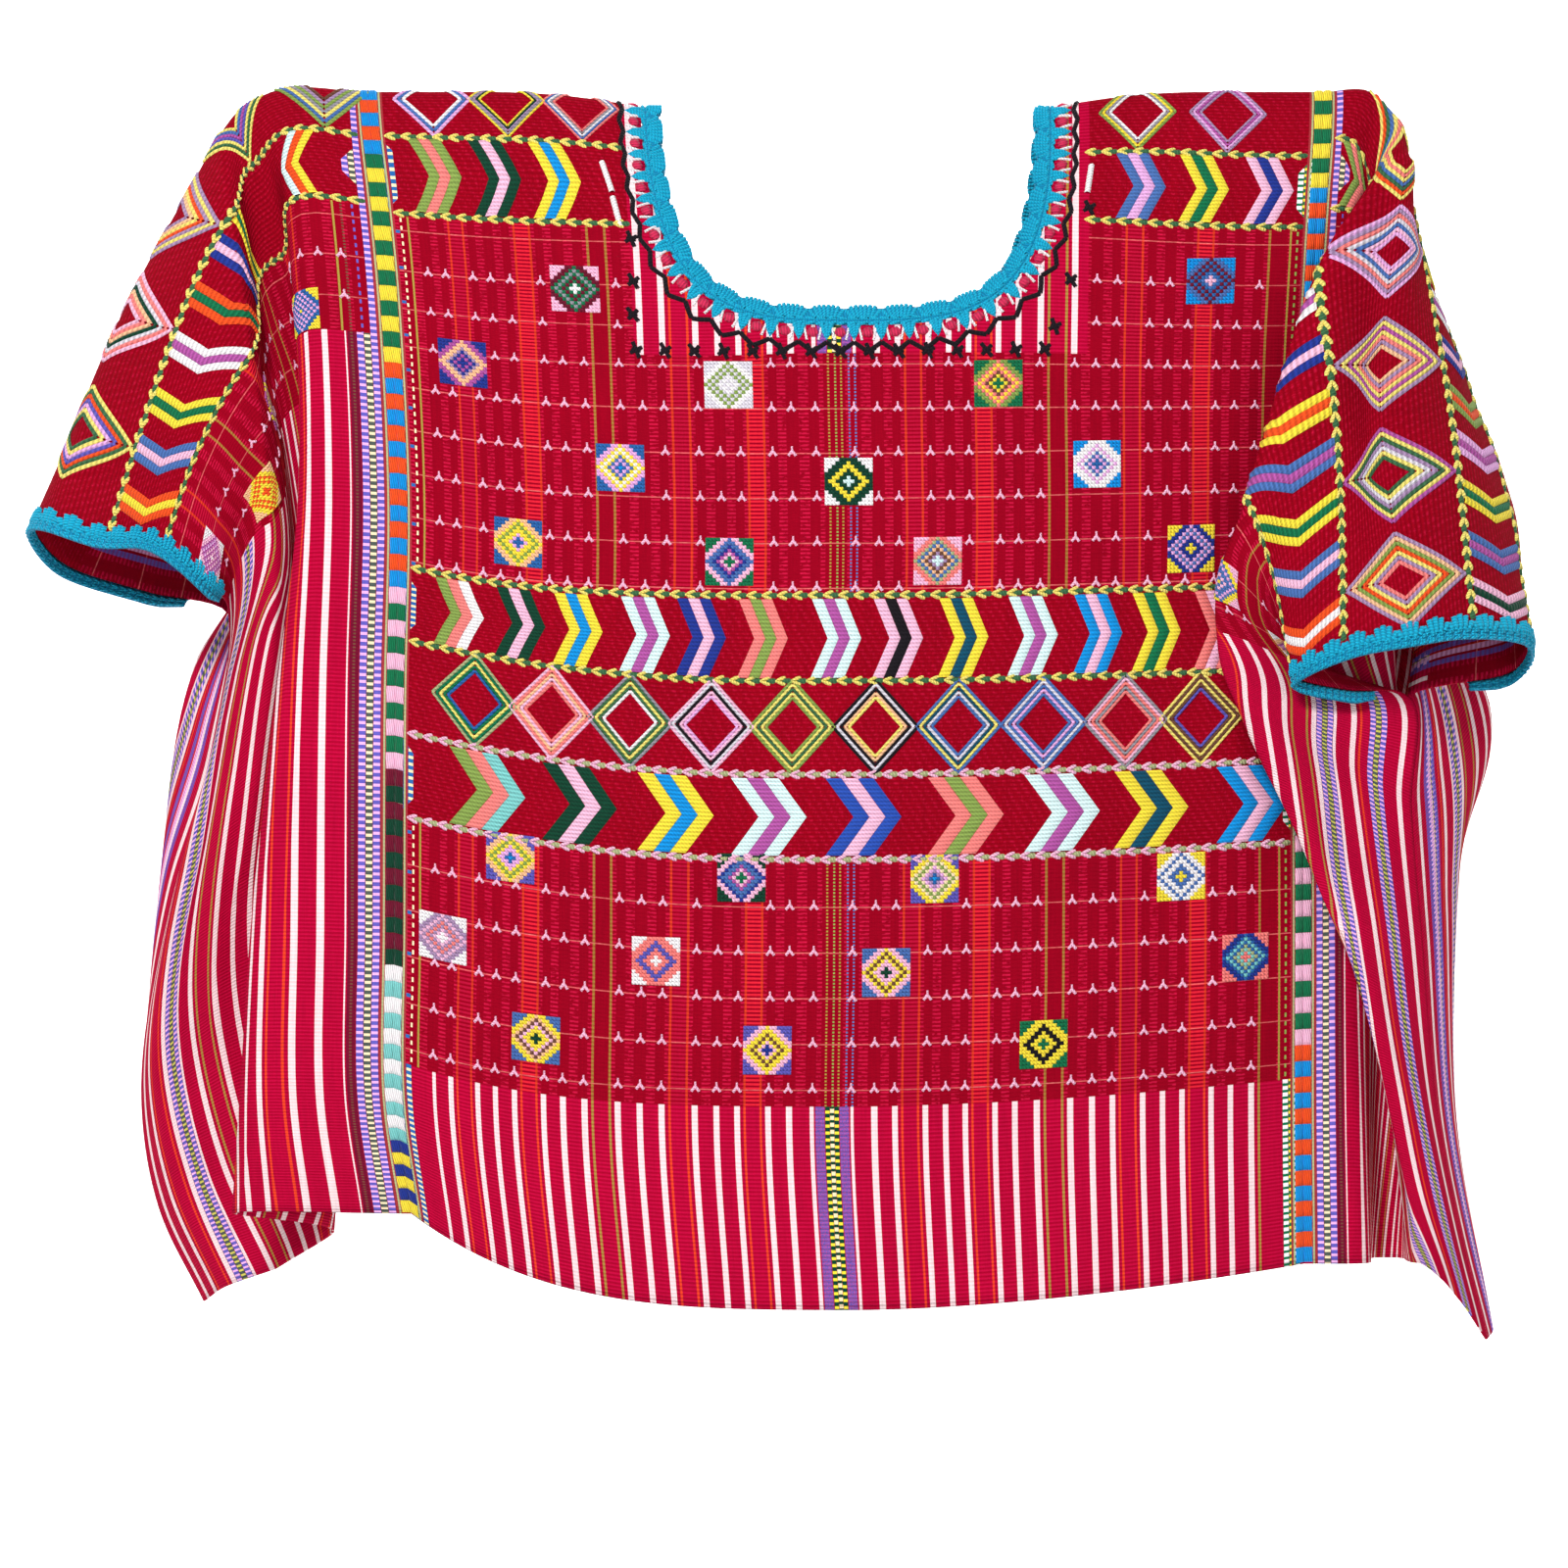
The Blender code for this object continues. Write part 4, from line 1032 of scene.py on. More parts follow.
# Small diamonds: (middle u, depth, yarns of the rings from the middle out, round them,
# in the corners)
SMALL_DIAMONDS = (
    (-141, -115, "white white green maroon green grey green", "maroon", "pink"),
    (-201, -160, "navy navy purple navy mauve peach peach", "purple", "navy"),
    (-64, -165, "white silver white silver olive silver olive", "white", "silver"),
    (75, -165, "green green yellow brown salmon yellow salmon", "olive", "green"),
    (184, -112, "pink pink slate blue maroon blue maroon", "slate", "sky"),
    (-121, -210, "sky blue lilac slate yellow white yellow", "lilac", "blue"),
    (-3, -216, "pale pale dark_green dark_green yellow yellow dark_green", "dark_green",
     "white"),
    (126, -209, "blue blue lilac slate white lilac white", "white", "sky"),
    (-175, -253, "blue blue lilac yellow yellow olive yellow", "peach", "blue"),
    (-65, -258, "green green pink purple navy slate slate", "pink", "green"),
    (43, -258, "pale pale mauve brown peach slate pale_olive", "salmon", "pink"),
    (176, -255, "yellow yellow navy navy lilac slate lilac", "navy", "yellow"),
    (-177, -418, "sky blue lilac lilac yellow olive yellow", "peach", "violet"),
    (-57, -422, "green green pink purple slate slate navy", "pink", "dark_green"),
    (43, -423, "sky blue mauve lilac cream olive cream", "yellow", "violet"),
    (172, -427, "yellow yellow slate slate white white slate", "white", "yellow"),
    (-212, -466, "white white pink mauve salmon mauve pink", "mauve", "white"),
    (-101, -466, "white white salmon salmon violet violet salmon", "salmon", "white"),
    (18, -471, "dark_green dark_green pink pink yellow brown yellow", "pink", "slate"),
    (206, -472, "salmon salmon teal pale_olive blue teal blue", "navy", "salmon"),
    (-163, -511, "dark_green dark_green yellow yellow pink brown peach", "yellow", "slate"),
    (-43, -511, "navy navy pink yellow brown yellow yellow", "pink", "violet"),
    (100, -511, "green green yellow yellow black black yellow", "yellow", "green"),
    (-539, -110, "white pink purple pink purple lilac purple", "pink", "white"),
    (-438, -108, "yellow purple yellow purple yellow lilac purple", "yellow", "purple"),
    (-488, -134, "orange orange yellow yellow orange yellow orange", "yellow", "peach"),
    (-282, -138, "yellow blue lilac blue lilac blue lilac", "blue", "yellow"),
    (338, -110, "yellow green pink green pink green green", "pink", "green"),
    (463, -114, "yellow slate pink slate slate lilac slate", "yellow", "pink"),
    (502, -138, "white peach purple peach purple lilac purple", "peach", "white"),
)
SIDE_SWAY = 12.0          # the back's small diamonds stand this far over

# Randa blocks down the front: (up to this depth, yarn, next yarn)
RANDA_RUNS = {
    "left": ((47, "sky", "orange"), (167, "yellow", "green"), (283, "sky", "orange"),
             (386, "green", "pink"), (486, "maroon", "dark_green"), (594, "white", "teal"),
             (645, "navy", "yellow")),
    "right": ((60, "yellow", "green"), (170, "orange", "sky"), (290, "white", "teal"),
              (400, "maroon", "yellow"), (519, "green", "pink"), (645, "orange", "sky")),
}


def chevron(stitches, middle, v, half, width, tip, yarns):
    """Add three nested V-shaped stripes that point along +u (or -u where tip is below 0)."""
    third = width / 3
    for i, colour in enumerate(yarns):
        at = middle - tip / 2 + (i - 1) * third * (1 if tip > 0 else -1)
        for end in (-half, half):
            start, point = (at, v + end), (at + tip, v)
            stitches.add("long", start, point, (third * 0.98, 0), 0.75, colour, 0.25)


def diamond(stitches, middle, v, half_u, half_v, step, yarns, sides=(-1, 1)):
    """Add nested diamond outlines of yarn strands."""
    for i, colour in enumerate(yarns):
        reach = 1 - step * i / half_u
        a, b = half_u * reach, half_v * reach
        width = step * half_v / np.hypot(half_u, half_v) * 1.02
        for side in sides:
            for end in (-1, 1):
                stitches.strand((middle + side * a, v), (middle, v + end * b), width, 0.8,
                                colour, 0.25)


def small_diamond(stitches, u, v, yarns, size):
    """Add a square of raised stitches with thin ringed diamonds of colour in it."""
    count = 13
    pitch = size / count
    rings, outer, corner = yarns
    rings = (*rings.split(), outer, outer)
    for column in range(count):
        for row in range(count):
            away = abs(column - count // 2) + abs(row - count // 2)
            colour = rings[away] if away < len(rings) else corner
            start = (u + (column - count / 2) * pitch, v + (row - count // 2) * pitch)
            stitches.add("cell", start, (start[0] + pitch, start[1]), (0, pitch), 0.8,
                         colour, 0.15)


def braid(stitches, first, last, v, yarns, blocked=None):
    """Add a line of V loops and straight stitches in two yarns."""
    count = int((last - first) / 7.9)
    pitch = (last - first) / count
    for i in range(count):
        u = first + i * pitch
        if blocked and blocked(u + pitch / 2, v):
            continue
        for end in (-1, 1):
            stitches.strand((u + pitch * 0.62, v + end * 1.9), (u - 0.6, v), 2.3, 1.5,
                            yarns[0], 0.1, "drop")
        stitches.strand((u + pitch * 1.02, v), (u + pitch * 0.34, v), 3.4, 1.2, yarns[1],
                        0.0, "drop")


def over_neck(u, v):
    return NECK_PLAIN[0] < u < NECK_PLAIN[1] and abs(v) < NECK_PLAIN[2]


def neck_outline(count=1440):
    """Return places round the neck hole at equal distances, with the way inwards."""
    turn = np.linspace(0, TAU, count * 4, endpoint=False)
    power = 2 / NECK_ROUNDNESS
    u = NECK_HALF_WIDTH * np.sign(np.cos(turn)) * np.abs(np.cos(turn)) ** power
    v = NECK_DEPTH * np.sign(np.sin(turn)) * np.abs(np.sin(turn)) ** power
    u, v = np.append(u, u[0]), np.append(v, v[0])
    along = np.concatenate([[0], np.cumsum(np.hypot(np.diff(u), np.diff(v)))])
    at = np.linspace(0, along[-1], count, endpoint=False)
    u, v = np.interp(at, along, u), np.interp(at, along, v)
    du, dv = np.roll(u, -4) - np.roll(u, 4), np.roll(v, -4) - np.roll(v, 4)
    size = np.hypot(du, dv)
    return at, along[-1], u + NECK_CENTRE, v, -dv / size, du / size


def neck_place(s, inward):
    """Turn a distance round the neck and one inwards from its edge into cloth places."""
    at, length, u, v, in_u, in_v = neck_outline()
    s = s % length
    keys = np.append(at, length)
    read = [np.interp(s, keys, np.append(row, row[0])) for row in (u, v, in_u, in_v)]
    size = np.maximum(np.hypot(read[2], read[3]), 1e-6)
    return read[0] + read[2] / size * inward, read[1] + read[3] / size * inward


def on_neck(s, inward, height):
    u, v = neck_place(s, inward)
    return on_cloth(u, v, height)


def round_neck(s, inward, height):
    """The same for what lies on the cloth round the hole."""
    return on_neck(s, inward, height + CLOTH_TOP)


def on_cuff(side):
    """Return the placing rule of a cuff: along the rim, out past it, and outwards."""
    sign = -1 if side == "left" else 1
    axis = np.array(SLEEVE_AXIS[side])
    axis /= np.linalg.norm(axis)

    def place(v, beyond, height):
        rim = np.full_like(v, sign * SELVEDGE)
        on = on_top(rim - sign * np.maximum(-beyond, 0), v, height)
        normal = cloth_normals(rim, v)
        normal -= (normal @ axis)[:, None] * axis
        normal = unit(normal)
        past = cloth_points(rim, v) + axis * beyond[:, None] + normal * height[:, None]
        return np.where((beyond > 0)[:, None], past * MM, on)
    return place


def tube(name, count, parts, section, place, finish, nodes, closed, span, yarn="lagoon"):
    """Make a soft closed band: a grid whose rows run round the band's cross-section."""
    bm = bmesh.new()
    bmesh.ops.create_grid(bm, x_segments=count, y_segments=parts, size=0.5)
    mesh = bpy.data.meshes.new(name)
    bm.to_mesh(mesh)
    bm.free()
    flat = vertex_array(mesh)
    along = span[0] + (flat[:, 0] + 0.5) * (span[1] - span[0])
    turn = (flat[:, 1] + 0.5) * TAU
    inward, height = section(along, np.cos(turn), np.sin(turn))
    world = place(along, inward, height)
    mesh.vertices.foreach_set("co", world.astype(np.float32).ravel())
    add_vectors(mesh, "lay", np.stack([along, inward / 4, height], axis=1))
    colours = np.tile([*YARN[yarn], 1.0], (len(flat), 1))
    add_vectors(mesh, "stitch", colours, "FLOAT_COLOR")
    bm = bmesh.new()
    bm.from_mesh(mesh)
    bmesh.ops.remove_doubles(bm, verts=bm.verts, dist=1e-6)
    if not closed:
        bmesh.ops.holes_fill(bm, edges=[e for e in bm.edges if e.is_boundary], sides=0)
    bmesh.ops.recalc_face_normals(bm, faces=bm.faces)
    bm.to_mesh(mesh)
    bm.free()
    return finish_piece(name, mesh, finish, nodes)


# ------------------------------------------------------------------- what a user changes

class HuipilClothSettings(bpy.types.PropertyGroup):
    """The woven cloth."""
    thickness: FloatProperty(
        name="Thickness", description="How thick the woven cloth is", default=1.3 * MM,
        min=0.6 * MM, max=1.6 * MM, unit="LENGTH", precision=4)
    rib_pitch: FloatProperty(
        name="Rib pitch", description="From one weft rib to the next", default=2.1 * MM,
        min=MM, max=5 * MM, unit="LENGTH", precision=4)
    tick_step: FloatProperty(
        name="Tick rows", description="From one row of brocade ticks to the next",
        default=23.6 * MM, min=5 * MM, max=60 * MM, unit="LENGTH")
    crimson: FloatVectorProperty(
        name="Ground", description="Colour of the plain ground", subtype="COLOR",
        default=yarn("9C0026"), min=0, max=1)
    rib_highlight: FloatVectorProperty(
        name="Rib", description="Colour of the lit weft ribs", subtype="COLOR",
        default=yarn("C40A40"), min=0, max=1)
    band: FloatVectorProperty(
        name="Band", description="Ground colour of the bands", subtype="COLOR",
        default=yarn("8E0016"), min=0, max=1)
    ladder: FloatVectorProperty(
        name="Ladder", description="Colour of the ribs between paired lines",
        subtype="COLOR", default=yarn("DA2034"), min=0, max=1)
    brocade: FloatVectorProperty(
        name="Field", description="Ground colour of the brocaded field", subtype="COLOR",
        default=yarn("8C001A"), min=0, max=1)
    dash: FloatVectorProperty(
        name="Field floats", description="Colour of the short floats in the field",
        subtype="COLOR", default=yarn("C4143E"), min=0, max=1)
    pair: FloatVectorProperty(
        name="Paired lines", description="Colour of the paired warp lines",
        subtype="COLOR", default=yarn("E4441E"), min=0, max=1)
    white: FloatVectorProperty(
        name="White stripes", description="Colour of the white warp stripes",
        subtype="COLOR", default=yarn("F2D9DC"), min=0, max=1)


class HuipilCrochetSettings(bpy.types.PropertyGroup):
    """The crochet edges."""
    tooth_pitch: FloatProperty(
        name="Tooth pitch", description="From one tooth of the neck edge to the next",
        default=14 * MM, min=6 * MM, max=40 * MM, unit="LENGTH")
    tooth_length: FloatProperty(
        name="Tooth length", description="How far a tooth reaches over the cloth",
        default=8 * MM, min=3 * MM, max=15 * MM, unit="LENGTH")
    shell_pitch: FloatProperty(
        name="Shell pitch", description="From one scallop of the cuffs to the next",
        default=12.5 * MM, min=6 * MM, max=40 * MM, unit="LENGTH")
    loops: IntProperty(
        name="Loops to a shell", description="Fanned loops in each scallop", default=5,
        min=3, max=9)


class HuipilStageSettings(bpy.types.PropertyGroup):
    """The floor, the light and the camera."""
    floor_height: FloatProperty(
        name="Floor height", description="Height of the floor", default=-0.9,
        unit="LENGTH")
    key_power: FloatProperty(
        name="Key light", description="Strength of the main light", default=78, min=0,
        unit="POWER")
    camera_distance: FloatProperty(
        name="Camera distance", description="From the shoulder fold to the camera",
        default=3.0, min=1.0, unit="LENGTH")


def settings(context, part):
    return getattr(context.scene, "huipil_" + part)


_finishes = {}


def finish_called(name, make):
    if name not in _finishes:
        _finishes[name] = make()
    return _finishes[name]


# ------------------------------------------------------------------------- operators

class HUIPIL_OT_cloth(bpy.types.Operator):
    """Weave the three lengths of cloth"""
    bl_idname = "huipil.cloth"
    bl_label = "Weave the three lengths"

    def execute(self, context):
        look = settings(context, "cloth")
        finish = cloth_finish(look)
        thickness = look.thickness / MM
        centre = weave_length("centre_cloth", centre_columns(), neck_warp, True, thickness,
                              finish, "centre_panel")
        sides = [weave_length(f"{side}_cloth", side_columns(), side_place(side), False,
                              thickness, finish, f"{side}_panel")
                 for side in ("left", "right")]
        return {"FINISHED"}


class HUIPIL_OT_bands(bpy.types.Operator):
    """Brocade the bands of chevrons and diamonds"""
    bl_idname = "huipil.bands"
    bl_label = "Brocade the bands"

    def execute(self, context):
        finish = finish_called("soumak", soumak_finish)
        centre = Stitches()
        for face in (-1, 1):
            for u, *yarns in CHEVRONS_UPPER:
                chevron(centre, u, 52.5 * face, 19, 16.5, 9, yarns)
            for u, *yarns in CHEVRONS_MIDDLE:
                chevron(centre, u, 298 * face, 20.5, 17.5, 8.5, yarns)
            for u, *yarns in CHEVRONS_LOWER:
                chevron(centre, u, 390.5 * face, 20, 25, 14.5, yarns)
            for u, *yarns in DIAMONDS_MIDDLE:
                if abs(u) < 215:
                    diamond(centre, u, 344 * face, 22, 24.4, 2.05, yarns)
        for u, *yarns in DIAMONDS_SHOULDER:
            diamond(centre, u, -8, 18.9, 23, 6.8 / len(yarns), yarns)
        centre.make("centre_bands", finish, "cloth")
        fronts = {"left": CHEVRONS_LEFT_FRONT, "right": CHEVRONS_RIGHT_FRONT}
        for side, sign in (("left", -1), ("right", 1)):
            stitches = Stitches()
            for face, table in ((-1, fronts[side]), (1, CHEVRONS_BACK)):
                for out, *yarns in table:
                    chevron(stitches, sign * (SEAM_HALF + out), 52.5 * face, 19, 14,
                            9 * sign, yarns)
            for out, *yarns in DIAMONDS_SIDE[side]:
                diamond(stitches, sign * (SEAM_HALF + out), 0, 25.5, 30, 2.6, yarns)
            stitches.make(f"{side}_bands", finish, "side_cloth")
        return {"FINISHED"}


class HUIPIL_OT_braids(bpy.types.Operator):
    """Lay the lines of looped stitches between the bands"""
    bl_idname = "huipil.braids"
    bl_label = "Lay the braids"

    def execute(self, context):
        finish = finish_called("yarn", yarn_finish)
        centre, sides = Stitches(), Stitches()
        for face in (-1, 1):
            for down in CENTRE_BRAIDS:
                yarns = ("pink", "pale_olive") if down > 350 else ("straw", "leaf")
                blocked = over_neck if down < NECK_DEPTH else None
                braid(centre, -SEAM_HALF + 7, SEAM_HALF - 7, down * face, yarns, blocked)
            for down in SIDE_BRAIDS:
                for sign in (-1, 1):
                    ends = sorted((sign * (SEAM_HALF + 7), sign * (SELVEDGE - 4)))
                    braid(sides, *ends, down * face, ("straw", "leaf"))
        centre.make("centre_braids", finish, "cloth")
        sides.make("side_braids", finish, "side_cloth")
        return {"FINISHED"}


class HUIPIL_OT_field(bpy.types.Operator):
    """Scatter the fields' ticks and small diamonds"""
    bl_idname = "huipil.field"
    bl_label = "Brocade the fields"

    def execute(self, context):
        step = settings(context, "cloth").tick_step / MM
        ticks, small = Stitches(), Stitches()
        for face in (-1, 1):
            squares = []
            for u, v, *yarns in SMALL_DIAMONDS:
                place = (u + (SIDE_SWAY if face > 0 else 0), -v * face)
                squares.append(place)
                small_diamond(small, *place, yarns, 25 if abs(u) < SEAM_HALF else 23)
            self.tick_rows(ticks, face, step, squares)
        small.make("small_diamonds", finish_called("yarn", yarn_finish), "cloth",
                   place=on_top)
        ticks.make("field_ticks", finish_called("yarn", yarn_finish), "cloth")
        return {"FINISHED"}

    def tick_rows(self, ticks, face, step, squares):
        """Add forked ticks where the white warp meets each row."""
        places = np.arange(-SELVEDGE + 8, SELVEDGE - 8, 0.5)
        phase = stripe_phase(places)
        turned = np.abs((phase + REPEAT / 2) % REPEAT - REPEAT / 2)
        chosen = (np.abs(turned) < 0.26) | (np.abs(turned - 10.9) < 0.26)
        stripes = places[chosen]
        keep = np.concatenate([[True], np.diff(stripes) > 3])
        for u in stripes[keep]:
            fields = FIELDS if abs(u) < SEAM_HALF else (SIDE_FIELD,)
            if abs(abs(u) - SEAM_HALF) < 20:
                continue
            for low, high in fields:
                first = np.ceil((low + 8 - TICK_START) / step) * step + TICK_START
                for down in np.arange(first, high - 3, step):
                    v = down * face
                    near = any(abs(u - a) < 15 and abs(v - b) < 15 for a, b in squares)
                    if near or over_neck(u, v):
                        continue
                    ticks.strand((u, v - face * 2.6), (u, v + face * 0.4), 1.1, 0.8,
                                 "pink", 0.0, "short")
                    for lean in (-1, 1):
                        ticks.strand((u, v - face * 0.2), (u + lean * 2.0, v + face * 2.4),
                                     1.5, 0.9, "pink", 0.0, "short")


class HUIPIL_OT_randas(bpy.types.Operator):
    """Satin-stitch the two wide seams"""
    bl_idname = "huipil.randas"
    bl_label = "Stitch the randas"

    def execute(self, context):
        finish = finish_called("satin", lambda: yarn_finish("satin_stitch", 1.15, 0.55))
        for side, sign in (("left", -1), ("right", 1)):
            stitches = Stitches()
            block, half = 8.7, FRONT_LENGTH - 1
            count = int(half / block)
            block = half / count
            for face in (-1, 1):
                for i in range(count):
                    low, high = i * block, (i + 1) * block
                    run = next(r for r in RANDA_RUNS[side] if low + block / 2 < r[0])
                    colour = run[1 + i % 2]
                    for column in (-1, 1):
                        u = sign * SEAM_HALF + column * 2.2
                        ends = ((u - 2.25, (low + high) / 2 * face),
                                (u + 2.25, (low + high) / 2 * face))
                        stitches.add("pillow", *ends, (0, block * 0.99), 1.25, colour, 0.7)
            stitches.make(f"{side}_randa_stitch", finish, "randa_green" if side == "left"
                          else "randa_blue", [f"{side}_randa"], on_cloth)
        return {"FINISHED"}


class HUIPIL_OT_neck(bpy.types.Operator):
    """Crochet the neck edge and embroider round it"""
    bl_idname = "huipil.neck"
    bl_label = "Edge the neck"

    def execute(self, context):
        look = settings(context, "crochet")
        finish = finish_called("crochet", lambda: yarn_finish("crochet_cotton", 1.5, 0.66))
        length = neck_outline()[1]
        count = round(length / (look.tooth_pitch / MM))
        pitch = length / count

        def section(along, in_out, up):
            half = 4.2 + 0.6 * np.abs(np.sin(np.pi * along * round(length / 19) / length))
            return 0.5 + half + in_out * half, 0.8 * up

        tube("neck_band", 640, 10, section, on_neck, finish, ["neck_edging"],
             True, (0, length))
        chain, teeth, needlework = Stitches(), Stitches(), Stitches()
        loops, shells = round(length / 5.4), round(length / 19)
        wide = length / shells
        for face in (-1, 1):
            for i in range(loops):
                s = (i + 0.5) * length / loops
                for side in (-1, 1):
                    chain.add("drop", (s - 3.4, 2.3 + side * 1.8), (s + 2.9, 2.3 + side * 0.4),
                              (0, 2.6), 1.6 * face, "turquoise", 0.3 * face)
            for i in range(shells):
                for lean in np.linspace(-1, 1, 8):
                    s = (i + 0.5) * wide
                    chain.strand((s + lean * wide * 0.3, 3.8),
                                 (s + lean * wide * 0.47, 10.6 - 2.6 * lean ** 4), 2.2,
                                 1.5 * face, "turquoise", 0.3 * face)
        reach = look.tooth_length / MM
        for i in range(count):
            s = (i + 0.5) * pitch
            for lean in (-1, 0, 1):
                teeth.strand((s + lean * 2.9, 1.8), (s + lean * 0.5, -reach + abs(lean)), 3.0,
                             2.0, "turquoise", 0.0, "drop")
            middle = s + pitch / 2
            needlework.strand((middle - 3.3, -3.9), (middle + 3.3, -3.9), 6.2, 2.2, "rose",
                              0.3, "bobble")
            for side in (-1, 1):
                needlework.strand((middle + side * 4.3, -1.6), (middle + side * 2.9, -8.2),
                                  1.3, 1.4, "white", 0.0, "short")
            below = smooth((np.abs(neck_place(np.array([s]), np.array([0.0]))[1][0]) - 60) / 60)
            low, high = -reach - 1.2, -reach - 3.2 - 3.2 * below
            for a, b in (((s, low), (middle, high)), ((middle, high), (s + pitch, low))):
                needlework.strand(a, b, 2.5, 1.7, "black", 0.0, "short")
        chain.make("neck_chain", finish, "crochet", place=on_neck)
        teeth.make("neck_teeth", finish, "crochet", place=round_neck)
        needlework.make("neck_needlework", finish_called("yarn", yarn_finish), "cloth",
                        place=round_neck)
        self.crosses(finish_called("yarn", yarn_finish))
        return {"FINISHED"}

    def crosses(self, finish):
        """Add the row of small black crosses below the neck, front and back."""
        stitches = Stitches()
        for face in (-1, 1):
            places = [(u, 147.0) for u in range(-111, 106, 15)]
            places += [(-111, 87), (-111, 110), (-112, 128), (121, 70), (112, 110), (104, 135)]
            for u, v, reach, lean in ((-123, 42, 18, 4), (-119, 63, 17, 3), (122, 44, 17, -2)):
                stitches.strand((u, v * face), (u + lean, (v + reach) * face), 3.0, 1.6,
                                "white")
            for number, (u, v) in enumerate(places):
                for turn, half in ((0.2, 3.6), (0.66, 4.6), (1.0, 2.4)):
                    lean = TAU * (turn / 2 + 0.013 * ((number * 7) % 5 - 2))
                    du, dv = np.cos(lean) * half, np.sin(lean) * half
                    stitches.strand((u - du, v * face - dv), (u + du, v * face + dv), 2.3,
                                    1.4, "black", 0.0, "short")
        stitches.make("neck_crosses", finish, "cloth", place=on_top)


def cuff_taper(v):
    """Return how full the cuff's edging is, which thins toward the side seam."""
    return np.clip((CUFF_HALF - np.abs(v)) / CUFF_TAPER, CUFF_LEAST, 1)


class HUIPIL_OT_cuffs(bpy.types.Operator):
    """Crochet the two cuff edges"""
    bl_idname = "huipil.cuffs"
    bl_label = "Edge the cuffs"

    def execute(self, context):
        look = settings(context, "crochet")
        finish = finish_called("crochet", lambda: yarn_finish("crochet_cotton", 1.5, 0.66))
        reach = CUFF_HALF - CUFF_INSET
        count = round(2 * reach / (look.shell_pitch / MM))
        pitch = 2 * reach / count
        for side in ("left", "right"):
            place = on_cuff(side)

            def section(along, in_out, up):
                taper = cuff_taper(along)
                half = 3.2 * taper
                return 0.2 + half + in_out * half, 1.0 * up

            tube(f"{side}_cuff_band", 120, 10, section, place, finish,
                 [f"{side}_cuff_edging"], False, (-reach + 0.5, reach - 0.5))
            stitches = Stitches()
            for i in range(count):
                middle = -reach + (i + 0.5) * pitch
                for loop in range(look.loops):
                    lean = (loop / (look.loops - 1) - 0.5) * 2
                    start = (middle + lean * pitch * 0.34, 1.2)
                    end = (middle + lean * pitch * 0.48, -6.6 + abs(lean) ** 2 * 4.0)
                    stitches.strand(start, end, 2.9, 1.9, "turquoise", 0.0)
            loops = round(2 * reach / 4.4)
            for face in (-1, 1):
                for i in range(loops):
                    v = -reach + (i + 0.5) * 2 * reach / loops
                    taper = cuff_taper(v)
                    for row in (1.9, 4.7):
                        for lean in (-1, 1):
                            stitches.add("drop", (v - 2.6, (row + lean) * taper),
                                         (v + 2.2, row * taper), (0, 1.9 * taper),
                                         1.5 * face, "turquoise", 0.4 * face)
            stitches.make(f"{side}_cuff_loops", finish, "crochet", place=place)
        return {"FINISHED"}


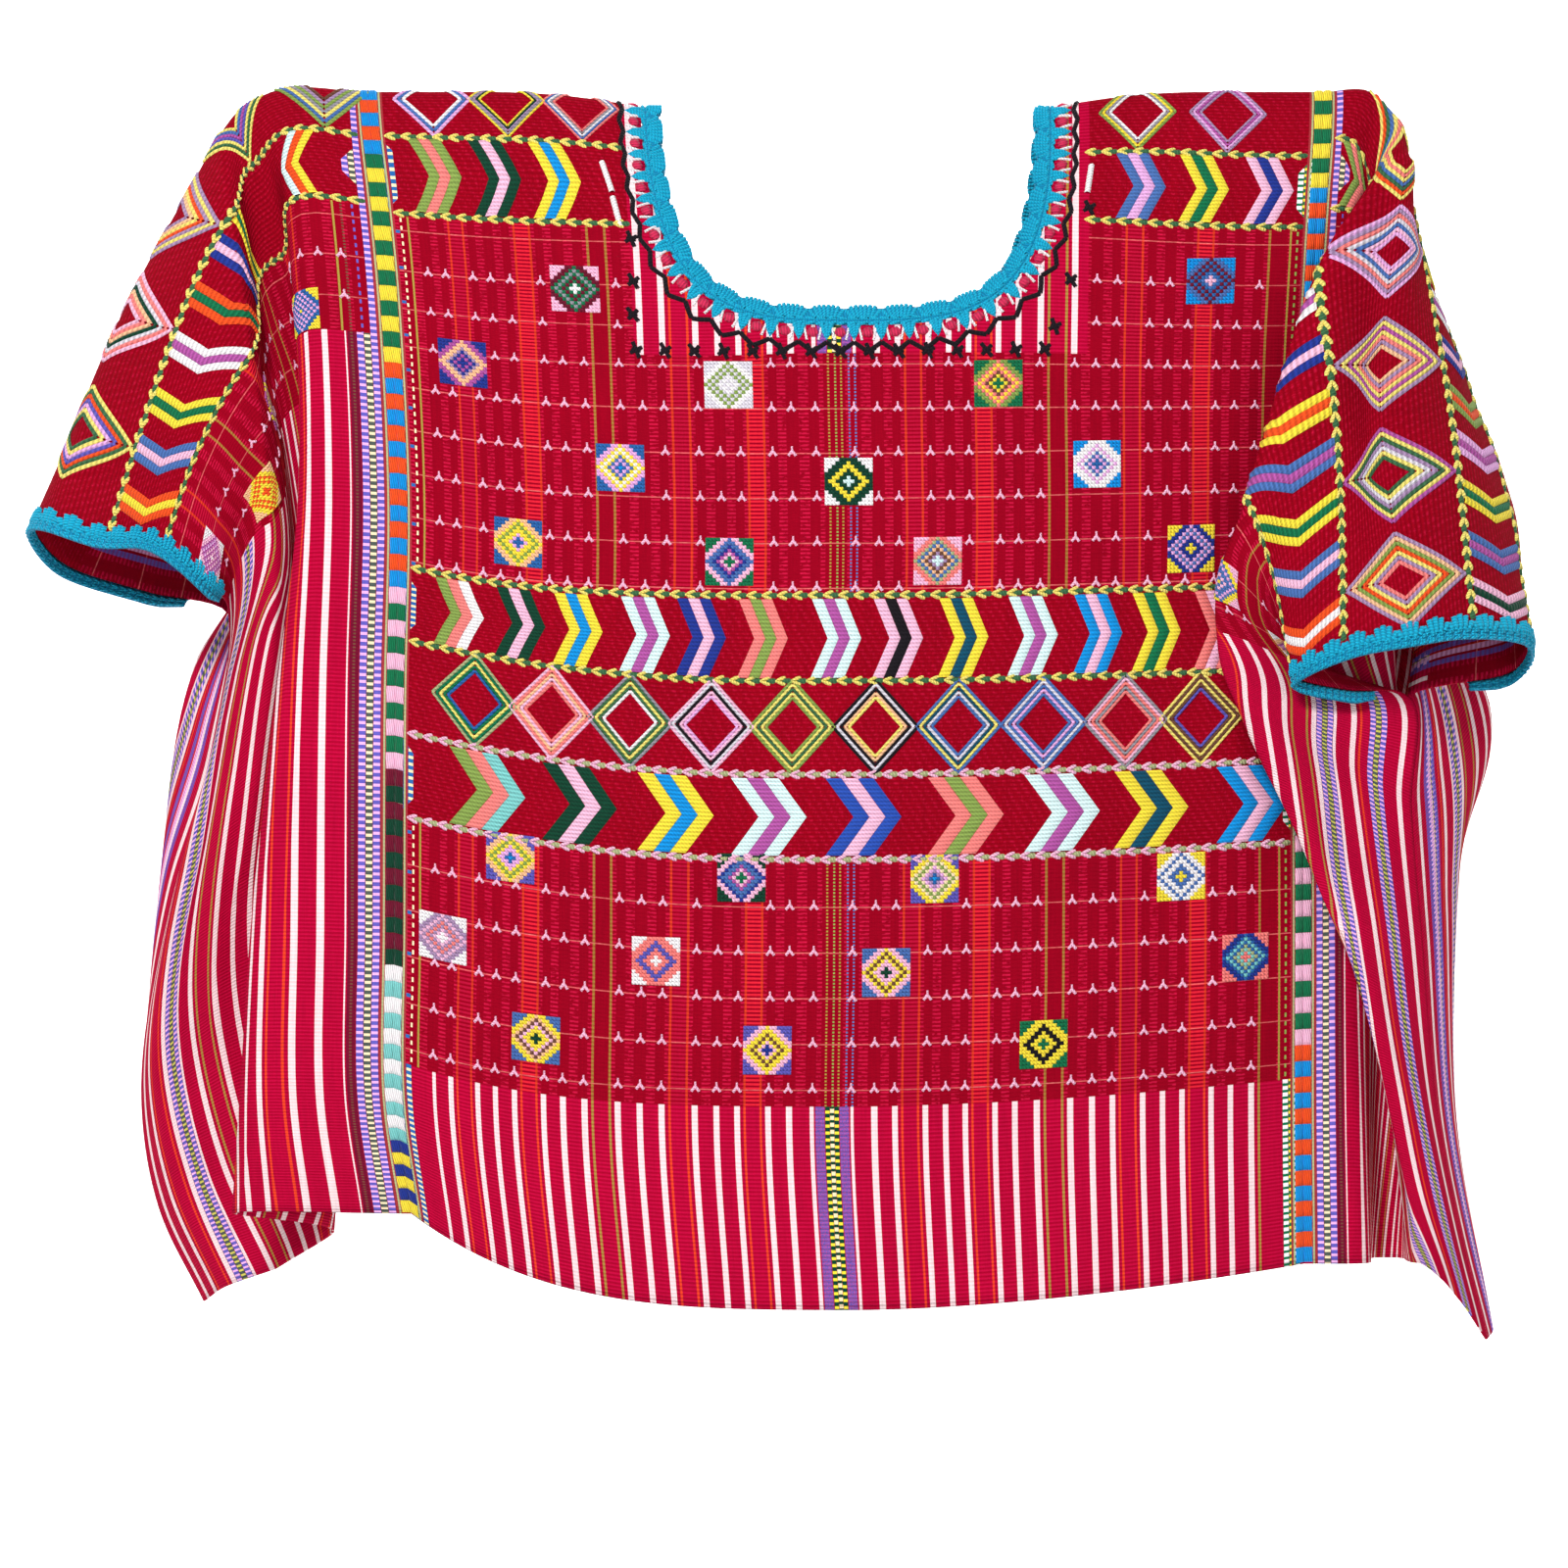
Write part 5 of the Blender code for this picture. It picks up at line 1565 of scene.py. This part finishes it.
class HUIPIL_OT_stage(bpy.types.Operator):
    """Set the floor, the light and the camera"""
    bl_idname = "huipil.stage"
    bl_label = "Set the stage"

    def execute(self, context):
        look = settings(context, "stage")
        bm = bmesh.new()
        bmesh.ops.create_grid(bm, x_segments=2, y_segments=60, size=1.0)
        depth, bend = 4.2, 0.9
        for vert in bm.verts:
            run = (vert.co.y + 1) * 5.2
            vert.co.x *= 9.0
            turn = np.clip((run - depth - 2.4) / bend, 0, np.pi / 2)
            rise = max(run - depth - 2.4 - bend * np.pi / 2, 0)
            vert.co.y = min(run - 2.4, depth) + bend * np.sin(turn)
            vert.co.z = look.floor_height + bend * (1 - np.cos(turn)) + rise
        mesh = bpy.data.meshes.new("floor")
        bm.to_mesh(mesh)
        bm.free()
        mesh.shade_smooth()
        floor = bpy.data.objects.new("floor", mesh)
        context.scene.collection.objects.link(floor)
        n = Nodes("pale_paper", roughness=0.9, sheen=0.0)
        grain = self.paper(n)
        mesh.materials.append(grain)
        self.light(context, look)
        camera = bpy.data.cameras.new("camera")
        camera.lens, camera.sensor_width = 130.5, 36
        seen = bpy.data.objects.new("camera", camera)
        seen.location = (-0.0325, -look.camera_distance, -0.3647)
        seen.rotation_euler = Euler((np.pi / 2, 0, 0))
        context.scene.collection.objects.link(seen)
        context.scene.camera = seen
        return {"FINISHED"}

    def paper(self, n):
        """Finish the floor as pale paper."""
        place = n.tree.nodes.new("ShaderNodeTexCoord").outputs["Object"]
        grain = n.noise(place, 40.0, 0.0)
        tone = n.mix(grain, (0.87, 0.87, 0.87), (0.91, 0.91, 0.91))
        return n.done(tone, grain, 0.2, 0.1)

    def light(self, context, look):
        """Add soft studio lights and an even pale surround."""
        wall = Vector((0, 4.6, -0.1))
        lamps = (
            ("key", (-0.7, -2.3, 1.2), 0.7, look.key_power, None),
            ("fill", (1.3, -2.5, 0.1), 1.6, look.key_power * 0.15, None),
            ("back", (0.2, 1.7, 1.2), 1.4, look.key_power * 0.3, None),
            ("wash_left", (-1.9, 0.9, 1.0), 1.5, look.key_power * 2.4, wall),
            ("wash_right", (1.9, 0.9, 1.0), 1.5, look.key_power * 2.4, wall),
        )
        for name, place, size, power, target in lamps:
            lamp = bpy.data.lights.new(name, "AREA")
            lamp.shape, lamp.size, lamp.energy = "DISK", size, power
            thing = bpy.data.objects.new(name, lamp)
            thing.location = place
            aim = (target or Vector((-0.03, 0, -0.34))) - Vector(place)
            thing.rotation_euler = aim.to_track_quat("-Z", "Y").to_euler()
            context.scene.collection.objects.link(thing)
        world = bpy.data.worlds.new("studio")
        world.use_nodes = True
        back = world.node_tree.nodes["Background"]
        back.inputs["Color"].default_value = (1, 1, 1, 1)
        back.inputs["Strength"].default_value = 0.2
        context.scene.world = world
        context.scene.view_settings.view_transform = "Standard"


GROUPS = {"cloth": HuipilClothSettings, "crochet": HuipilCrochetSettings,
          "stage": HuipilStageSettings}
OPERATORS = (HUIPIL_OT_stage, HUIPIL_OT_cloth, HUIPIL_OT_bands, HUIPIL_OT_braids,
             HUIPIL_OT_field, HUIPIL_OT_randas, HUIPIL_OT_neck, HUIPIL_OT_cuffs)


class HUIPIL_PT_panel(bpy.types.Panel):
    """The blouse's sizes, colours and steps."""
    bl_idname = "HUIPIL_PT_panel"
    bl_label = "Huipil blouse"
    bl_space_type = "VIEW_3D"
    bl_region_type = "UI"
    bl_category = "Huipil"

    def draw(self, context):
        for part, group in GROUPS.items():
            box = self.layout.box()
            box.label(text=part.capitalize())
            for key in group.__annotations__:
                box.prop(settings(context, part), key)
        for operator in OPERATORS:
            self.layout.operator(operator.bl_idname)


def register():
    for item in (*GROUPS.values(), *OPERATORS, HUIPIL_PT_panel):
        bpy.utils.register_class(item)
    for part, group in GROUPS.items():
        setattr(bpy.types.Scene, "huipil_" + part, PointerProperty(type=group))


def unregister():
    for part in GROUPS:
        delattr(bpy.types.Scene, "huipil_" + part)
    for item in reversed((*GROUPS.values(), *OPERATORS, HUIPIL_PT_panel)):
        bpy.utils.unregister_class(item)


def main():
    register()
    for operator in OPERATORS:
        step = getattr(bpy.ops.huipil, operator.bl_idname.split(".")[1])
        step()


if __name__ == "__main__":
    main()
